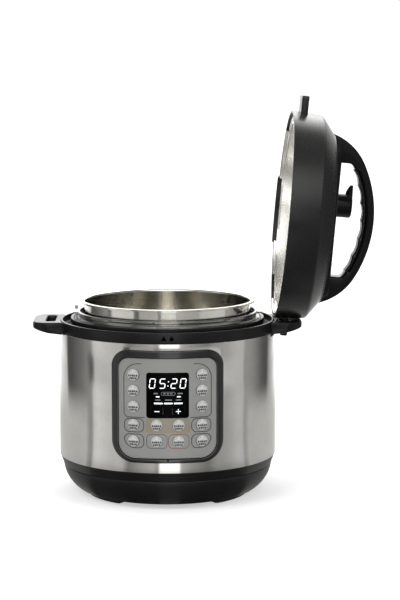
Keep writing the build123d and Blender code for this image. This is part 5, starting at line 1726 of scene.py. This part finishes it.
@dataclass
class StoredLid:
    """Lid that stands in the right handle's slot, with everything it carries.

    In its own frame the rim's plane is z = 0 and +Z points out of its top.
    """

    lean: float = 5.05  # degrees out from upright
    handle_top: float = 196.0  # level of the side handle that it rests on
    gap: float = 0.5  # between the rim and that level
    slot_center: float = 130.7
    slot_middle: float = 190.625
    radius: float = 116.5  # outside of its rim
    band: float = 34.5  # height of its side
    draft: float = 2.8
    bevel_radius: float = 96.5
    bevel_top: float = 47.5
    disc_radius: float = 94.5  # raised disc inside the bevel
    disc_step: float = 2.0
    dome: float = 54.0  # height of its middle
    dome_steps: int = 14
    wall: float = 2.6
    skirt_low: float = -1.8  # tab at the rim
    skirt_start: float = 69.0
    skirt_sweep: float = 39.0
    fin_low: float = 8.9
    fin_thickness: float = 7.8
    fin_root: float = 108.0
    fin_seat: float = 113.0  # radius that the fin's root follows
    fin_reach: float = 134.0
    fin_width: float = 40.0
    steel_radius: float = 111.2
    steel_wall: float = 1.5
    steel_low: float = 3.0
    steel_top: float = 31.5
    panel_radius: float = 82.0  # raised middle of the steel lid
    panel_rise: float = 4.0
    tabs: int = 8
    tab_sweep: float = 27.0
    tab_inner: float = 103.5
    tab_outer: float = 110.6
    hem_low: float = 0.3
    # First angle and sweep of each stretch of the hem
    hem_sectors: tuple[Point2, ...] = ((0, 24), (46, 23), (108, 38), (200, 25), (245, 25), (290, 25),
                                       (335, 22))
    seal_inner: float = 88.7
    seal_outer: float = 107.5
    seal_low: float = 21.7
    rack_inner: float = 87.0
    rack_wall: float = 1.4
    rack_low: float = 20.0
    rack_foot: float = 91.5
    inner_top: float = 29.9  # top of the seal and its rack
    screw_x: float = 66.0
    screw_end: float = 57.0
    pipe: Point2 = (-13.0, 38.0)
    pipe_hole: float = 6.0
    pipe_bore: float = 1.6
    pipe_radius: float = 5.0
    pipe_flange: float = 8.0
    pipe_seat: float = 35.5
    pipe_top: float = 70.0
    nut_flats: float = 15.0
    cap_radius: float = 11.0
    cap_height: float = 12.1
    cap_slots: int = 10
    knob_radius: float = 13.4
    knob_bore: float = 5.3
    knob_low: float = 57.0
    knob_top: float = 80.2
    knob_ribs: int = 24
    lever_low: float = 72.0
    lever_neck: float = 9.0
    lever_tip: float = 1.6
    lever_reach: float = 22.4
    lever_edge: float = 0.6
    float_place: Point2 = (24.0, 36.0)
    float_hole: float = 5.0
    float_low: float = 26.0
    float_top: float = 52.0

    @property
    def place(self) -> Matrix:
        """Matrix from the lid's own frame to the cooker's."""
        lean = radians(self.lean)
        height = self.handle_top + self.gap + self.radius * cos(lean)
        fin = self.fin_low + self.fin_thickness / 2
        along = (height - self.slot_middle - fin * sin(lean)) / cos(lean)
        across = self.slot_center + along * sin(lean) - fin * cos(lean)
        return Matrix.Translation((across, 0, height)) @ Matrix.Rotation(pi / 2 + lean, 4, "Y")

    @property
    def panel_top(self) -> float:
        """Height of the inner lid's raised middle."""
        return self.steel_top + self.panel_rise

    @property
    def panel_under(self) -> float:
        """Height of the inner lid's raised middle, on its lower side."""
        return self.panel_top - self.steel_wall

    def build(self) -> None:
        """Make every piece of the lid."""
        self.cover()
        self.inner_lid()
        self.seal()
        self.screws()
        self.pipe_parts()
        self.knob()
        self.float_parts()

    def send(self, shape: Shape, name: str, finish: Finish, node: str, at: Point2 = (0.0, 0.0),
             body: Body = Body.LID, sharp: float = 32.0) -> None:
        """Place a shape, drawn in the lid's frame about an axis at a place, and hand it over as a piece."""
        shape.shift(*at).place(self.place).piece(name, finish, node, body=body, sharp=sharp)

    def send_cut(self, made: Object, finish: Finish, node: str, at: Point2 = (0.0, 0.0)) -> None:
        """Place an object, drawn in the lid's frame about an axis at a place, and hand it over."""
        made.data.transform(Matrix.Scale(MM, 4) @ (self.place @ Matrix.Translation((*at, 0)))
                            @ Matrix.Scale(1 / MM, 4))
        dress(made, finish, node, body=Body.LID)

    def dome_line(self) -> list[Point3]:
        """Corners of the raised disc's line, from its step to its middle."""
        low = self.bevel_top + self.disc_step
        rise = self.dome - low
        radius = (self.disc_radius ** 2 + rise ** 2) / (2 * rise)
        reaches = [(self.disc_radius - 0.5) * k / self.dome_steps for k in range(self.dome_steps, -1, -1)]
        return [(x, self.dome - radius + sqrt(radius ** 2 - x ** 2), 0) for x in reaches]

    def cover(self) -> None:
        """Black cover with its step, fins and the tab at its rim."""
        top, rim, inner = self.radius - self.draft, self.radius, self.radius - self.wall
        outside = rounded([(rim, 0, 0.8), (top, self.band, 4.5), (self.bevel_radius, self.bevel_top, 1.2),
                           (self.disc_radius + 0.8, self.bevel_top, 0.5),
                           (self.disc_radius, self.bevel_top + self.disc_step - 0.1, 0.7),
                           *self.dome_line()], closed=False, step=10)
        outside[0:1] = rounded([(rim - 4, 0, 0), (rim, 0, 0.8), (top, self.band, 0)], closed=False)[1:-1]
        inside = [(0, self.dome - self.wall - 1), (self.bevel_radius - 2, self.bevel_top - self.wall),
                  (top - self.wall, self.band - 1), (inner, 0.3), (inner + 0.3, 0)]
        made = Shape().lathe(outside + inside, 224).bare("lid_shell")
        for angle in (0, 180):
            combine(made, self.fin().turn(angle), "UNION")
        tab = slab(inner, rim, self.skirt_low, 0.8, (0.5, 0.8, 0, 0), 20)
        combine(made, Shape().lathe(tab, 36, start=self.skirt_start, sweep=self.skirt_sweep), "UNION")
        for place, radius in ((self.pipe, self.pipe_hole), (self.float_place, self.float_hole)):
            combine(made, Shape().prism(circle(radius, *place), 30, 60))
        self.send_cut(made, LID_PLASTIC, "lid_cover")

    def fin(self) -> Shape:
        """Flat tongue that stands in a handle's slot."""
        root, reach, half = self.fin_root, self.fin_reach, self.fin_width / 2
        line, high = slab(root, reach, -half, half, (0, 3, 3, 0)), self.fin_low + self.fin_thickness
        shape = Shape().prism(line, self.fin_low, high, low_edge=1.2, high_edge=1.2)
        for vert in shape.mesh.verts:
            if vert.co.x < root + 3:
                vert.co.x = sqrt(self.fin_seat ** 2 - min(vert.co.y ** 2, half ** 2)) - 1.0
        return shape

    def inner_lid(self) -> None:
        """Pressed steel inner lid with its bayonet tabs and its bright hem."""
        wall, top, panel, slope = self.steel_wall, self.steel_top, self.panel_radius, self.panel_radius - 6
        rim, low, high, under = self.steel_radius, self.steel_low, self.panel_top, self.panel_under
        line = rounded([
            (rim, low, 0.5), (rim, top, 4.0), (panel, top, 2.0), (slope, high, 2.0), (0, high, 0),
            (0, under, 0), (slope - wall / 2, under, 1.5), (panel - wall / 2, top - wall, 1.5),
            (rim - wall, top - wall, 2.5), (rim - wall, low, 0.5)], step=12)
        shape = Shape().lathe(line, 200)
        tab = slab(self.tab_inner, self.tab_outer, low, low + 2, (0.9, 0, 0, 0.9), 20)
        for index in range(self.tabs):
            start = index * FULL_TURN / self.tabs - self.tab_sweep / 2
            shape.add(Shape().lathe(tab, 24, start=start, sweep=self.tab_sweep))
        hem = slab(rim - wall, rim, self.hem_low, low + 0.4, (0.5, 0.5, 0, 0), 20)
        for start, sweep in self.hem_sectors:
            shape.add(Shape().lathe(hem, sweep, start=start, sweep=sweep))
        self.send(shape, "inner_steel_lid", LID_STEEL, "steel_lid", sharp=40)

    def seal(self) -> None:
        """Silicone ring of open section round its steel rack."""
        low, top, inner = self.rack_low, self.inner_top, self.rack_inner
        wall = inner + self.rack_wall
        rack = rounded([(inner, low, 0.3), (self.rack_foot, low, 0.4), (self.rack_foot, low + 1.2, 0.4),
                        (wall, low + 1.2, 0.3), (wall, top, 0.3), (inner, top, 0.3)], step=30)
        self.send(Shape().lathe(rack, 160), "seal_wire_rack", LID_STEEL, "seal_rack")
        foot, inner, outer = self.seal_low, self.seal_inner, self.seal_outer
        ring = rounded([(inner, foot, 0.6), (98.1, foot + 0.6, 1.5), (105.7, foot, 0.8),
                        (outer, foot + 1.8, 0.8), (outer, foot + 2.9, 0.4), (99.3, foot + 2.9, 1.1),
                        (99.3, foot + 5.3, 1.1), (outer, foot + 5.3, 0.4), (outer, top, 0.5),
                        (inner, top, 0.5)], step=20)
        self.send(Shape().lathe(ring, 160), "silicone_seal", SILICONE, "sealing_ring")

    def screws(self) -> None:
        """Two round-headed screws that hold the arch handle."""
        top, end = self.panel_under, self.screw_end
        line = rounded([(0, top - 2.4, 0), (4.5, top - 2.4, 1.6), (4.5, top, 0.2), (2.4, top, 0),
                        (2.4, end, 0.4), (0, end, 0)], step=15)
        shape = Shape()
        for side in SIDES:
            shape.add(Shape().lathe(line, 32).shift(side * self.screw_x, 0))
        self.send(shape, "handle_screws", SMALL_STEEL, "lid_screws")

    def pipe_parts(self) -> None:
        """Steam pipe, its nut and the slotted cap under it."""
        bore, radius, flange, seat = self.pipe_bore, self.pipe_radius, self.pipe_flange, self.pipe_seat
        line = rounded([(bore, 25, 0.2), (radius, 25, 0.5), (radius, seat, 0), (flange, seat, 0.3),
                        (flange, seat + 2, 0.6), (radius, seat + 2, 0.3), (radius, self.pipe_top, 1.2),
                        (bore, self.pipe_top, 0.4)], step=22)
        self.send(Shape().lathe(line, 48), "steam_pipe", SMALL_STEEL, "steam_release_pipe", self.pipe)
        under = self.panel_under
        corners = [polar(self.nut_flats / 2 / cos(pi / 6), 60 * k + 30) for k in range(6)]
        hexagon = rounded([(x, y, 0.5) for x, y in corners], step=30)
        nut = Shape().prism(hexagon, under - 4, under, [circle(radius + 0.05, count=32)], 0.5, 0.3, 2)
        self.send(nut, "steam_pipe_nut", SMALL_STEEL, "pipe_nut", self.pipe)
        low, outer = under - self.cap_height, self.cap_radius
        cap = rounded([(0, low, 0), (outer, low, 1.5), (outer, under - 0.1, 0), (outer - 1, under - 0.1, 0),
                       (outer - 1, low + 1, 1), (0, low + 1, 0)], step=15)
        made = Shape().lathe(cap, 80).bare("steam_cap")
        for index in range(self.cap_slots):
            slot = Shape().prism(box(2.2, 6.6, 1.0, 0, low + 5.9, step=30), -14, -8)
            combine(made, slot.stand(FULL_TURN / self.cap_slots * index))
        self.send_cut(made, SMALL_STEEL, "anti_block_shield", self.pipe)

    def lever_loop(self, inset: float, reach: float, height: float, count: int = 72) -> list[Point3]:
        """Outline of the knob's lever: a hull round its neck and its tip.

        Args:
            inset: how far the outline is moved inwards.
            reach: distance from the neck's middle to the tip's.
            height: height of the outline.
            count: number of points.

        Returns:
            The outline's points.
        """
        neck, tip = self.lever_neck - inset, max(0.4, self.lever_tip - inset)
        limit = acos((neck - tip) / reach)
        loop = []
        for k in range(count):
            angle = 2 * pi * (k + 0.5) / count
            small = abs(angle - pi) < limit
            x = -reach + tip * cos(angle) if small else neck * cos(angle)
            loop.append((x, (tip if small else neck) * sin(angle), height))
        return loop

    def knob(self) -> None:
        """Weighted steam release knob with its pointed lever."""
        bore, outer, low, top = self.knob_bore, self.knob_radius, self.knob_low, self.knob_top
        skirt = rounded([(bore, low, 0.3), (outer, low, 1.0), (outer, top, 2.4), (0, top, 0), (0, 73, 0),
                         (bore, 73, 0)], step=12)
        shape = Shape().lathe(skirt, 80)
        loops = []
        for k in range(13):
            height = self.lever_low + (top - self.lever_edge - self.lever_low) * k / 12
            loops.append(self.lever_loop(0.0, 11.5 + 10.9 * min(1.0, (k / 8) ** 0.6), height))
        loops += [self.lever_loop(inset, self.lever_reach, top - drop)
                  for inset, drop in rounding(self.lever_edge, 3)]
        shape.add(Shape().loft(loops))
        for index in range(self.knob_ribs):
            rib = Shape().prism(box(0.9, 7.0, 0.4, 0, low + 4, step=45), -outer, 0.4 - outer, low_edge=0.25)
            shape.add(rib.stand(FULL_TURN / self.knob_ribs * index))
        self.send(shape, "steam_knob", VALVE_PLASTIC, "steam_release_handle", self.pipe, Body.STEAM)

    def float_parts(self) -> None:
        """Float pin and its silicone cap."""
        low, collar, top = self.float_low, self.panel_top + 0.3, self.float_top
        line = rounded([(0, low, 0), (3.2, low, 0.4), (3.2, collar, 0.3), (6.4, collar, 0.4),
                        (6.4, collar + 2.2, 0.5), (4.4, collar + 2.2, 0.3), (4.4, top, 0.9), (0, top, 0)],
                       step=15)
        place, body = self.float_place, Body.FLOAT
        self.send(Shape().lathe(line, 48), "float_pin", SMALL_STEEL, "float_valve", place, body)
        high = self.panel_under - 5.0
        line = slab(3.25, 6.5, high - 2.6, high, (0.2, 0.9, 0.4, 0.2), 20)
        self.send(Shape().lathe(line, 48), "float_cap", SILICONE, "float_valve_cap", place, body)


@dataclass
class ArchHandle:
    """Arch handle on the lid with its base plate and a scalloped grip."""

    lid: StoredLid
    half_length: float = 95.0
    root: float = 48.3
    top: float = 102.0  # height of its crown
    radius: float = 136.0  # radius of the crown's arc
    shoulder: float = 64.0  # where the crown's arc ends
    width: float = 26.0
    edge: float = 3.0
    loop: float = 12.5  # thickness of the loop
    plate_top: float = 59.0
    plate_width: float = 44.0
    window_half: float = 63.5
    grip_half: float = 56.0
    grip_width: float = 23.0
    grip_edge: float = 1.6
    grip_depth: float = 2.8
    grip_steps: int = 150
    crest: float = 1.8  # of the grip over the loop
    hollows: int = 6
    hollow_pitch: float = 19.6
    hollow_radius: float = 26.0
    hollow_depth: float = 1.9

    @property
    def center(self) -> float:
        """Height of the crown's arc centre."""
        return self.top - self.radius

    def build(self) -> None:
        """Make the handle and its grip."""
        self.frame_piece()
        self.grip()

    def outline(self) -> Loop:
        """Outer line of the arch: root, shoulder, crown, shoulder, root."""
        level = self.center + sqrt(self.radius ** 2 - self.shoulder ** 2)
        start, end = Vector((self.shoulder, level)), Vector((self.half_length, self.root))
        along = Vector((level - self.center, -self.shoulder)).normalized()
        normal = Vector((along.y, -along.x))
        chord = end - start
        size = chord.length_squared / (2 * normal.dot(chord))
        middle = start + normal * size
        right = swing(middle.x, middle.y, abs(size), atan2(start.y - middle.y, start.x - middle.x),
                      atan2(end.y - middle.y, end.x - middle.x), 24)
        span = degrees(acos(self.shoulder / self.radius))
        crown = arc(self.radius, 180 - span, span, 0, self.center, 1.5)
        return [(-x, y) for x, y in reversed(right)][:-1] + crown + right[1:]

    def window(self) -> Loop:
        """Line of the finger opening, stepped back where the grip sits."""
        inner = self.radius - self.loop
        seat = inner + self.grip_depth + 0.1
        half, low = self.window_half, self.plate_top - 2.0
        high = self.center + sqrt(inner ** 2 - half ** 2)
        a_seat, a_inner = (degrees(acos((self.grip_half + 0.1) / reach)) for reach in (seat, inner))
        stops = [(*polar(reach, angle, 0, self.center), 0)
                 for reach, angle in ((inner, a_inner - 0.9), (inner, a_inner), (seat, a_seat))]
        right = rounded([(0, low, 0), (half, low, 4), (half, high, 6.5), *stops], closed=False)[1:]
        crown = arc(seat, a_seat, 180 - a_seat, 0, self.center, 1.5)[1:-1]
        return right + crown + [(-x, y) for x, y in reversed(right)]

    def reach_at(self, level: float) -> float:
        """How far the arch's outer line stands from its middle at a height near its root.

        Args:
            level: the height.

        Returns:
            The distance.
        """
        side = [(x, y) for x, y in self.outline() if x > self.shoulder]
        for (a, high), (b, low) in zip(side, side[1:]):
            if low <= level <= high:
                return a + (b - a) * (high - level) / (high - low)
        return self.half_length

    def frame_piece(self) -> None:
        """Loop and base plate in one moulding."""
        half, plate = self.width / 2, self.plate_width / 2
        loop = Shape().prism(self.outline(), -half, half, [self.window()], self.edge, self.edge, 4)
        loop.stand()
        levels = [(0.0, self.root)]
        levels += [(inset, self.plate_top - drop) for inset, drop in rounding(self.edge, 6)]
        rows = []
        for inset, level in levels:
            size = plate - inset
            middle = min(self.half_length - plate, self.reach_at(level) - size)
            row = arc(size, -90, 90, middle, 0, 6) + arc(size, 90, 270, -middle, 0, 6)
            rows.append([(x, y, level) for x, y in row])
        loop.loft(rows)
        self.lid.send(loop, "arch_handle", HANDLE_PLASTIC, "lid_handle")

    def grip(self) -> None:
        """Soft grip on the finger side, with a hollow for each finger."""
        seat = self.radius - self.loop + self.grip_depth
        middle = self.radius - self.loop - self.crest
        pitch = degrees(self.hollow_pitch / middle)
        away = middle - self.hollow_radius + self.hollow_depth
        limit, seat_limit = (degrees(acos(self.grip_half / reach)) for reach in (middle, seat))
        line = []
        for k in range(self.grip_steps + 1):
            angle = limit + (180 - 2 * limit) * k / self.grip_steps
            reach = middle
            for index in range(self.hollows):
                off = radians(angle - 90 - (index - (self.hollows - 1) / 2) * pitch)
                under = self.hollow_radius ** 2 - (away * sin(off)) ** 2
                if under > 0:
                    reach = max(reach, away * cos(off) + sqrt(under))
            line.append(polar(reach, angle, 0, self.center))
        line += arc(seat, 180 - seat_limit, seat_limit, 0, self.center, 2)
        half, edge = self.grip_width / 2, self.grip_edge
        shape = Shape().prism(line, -half, half, low_edge=edge, high_edge=edge, steps=4).stand()
        self.lid.send(shape, "handle_soft_grip", GRIP_PLASTIC, "handle_grip")


# Parts of the frame that stay, in a better material

KEPT_NODES: dict[str, Finish] = {
    "temperature_sensor": SMALL_STEEL,
    "sensor_spring": SPRING_STEEL,
    "sensor_bracket": SMALL_STEEL,
    "pressure_switch": SWITCH_PLASTIC,
    "power_board": BOARD,
    "control_board": BOARD,
    "display_module": DISPLAY_PLASTIC,
}


def dress_kept_nodes() -> None:
    """Give the frame's own inner parts their finishes."""
    for name, finish in KEPT_NODES.items():
        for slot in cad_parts[name].material_slots:
            slot.material = finish.material()
        log.info("%s: kept, %s", name, finish.name)


def main() -> None:
    """Build the studio and every sub-assembly in order."""
    logging.basicConfig(level=logging.INFO, format="%(message)s")
    Studio().build()
    lid = StoredLid()
    for part in (BaseMoulding(), SteelWrap(), TopRing(), SideHandles(), HeatingParts(), InnerPot(),
                 ControlPanel(), CondensationCollector(), PowerInlet(), lid, ArchHandle(lid)):
        log.info("-- %s", type(part).__name__)
        part.build()
    dress_kept_nodes()


if __name__ == "__main__":
    main()
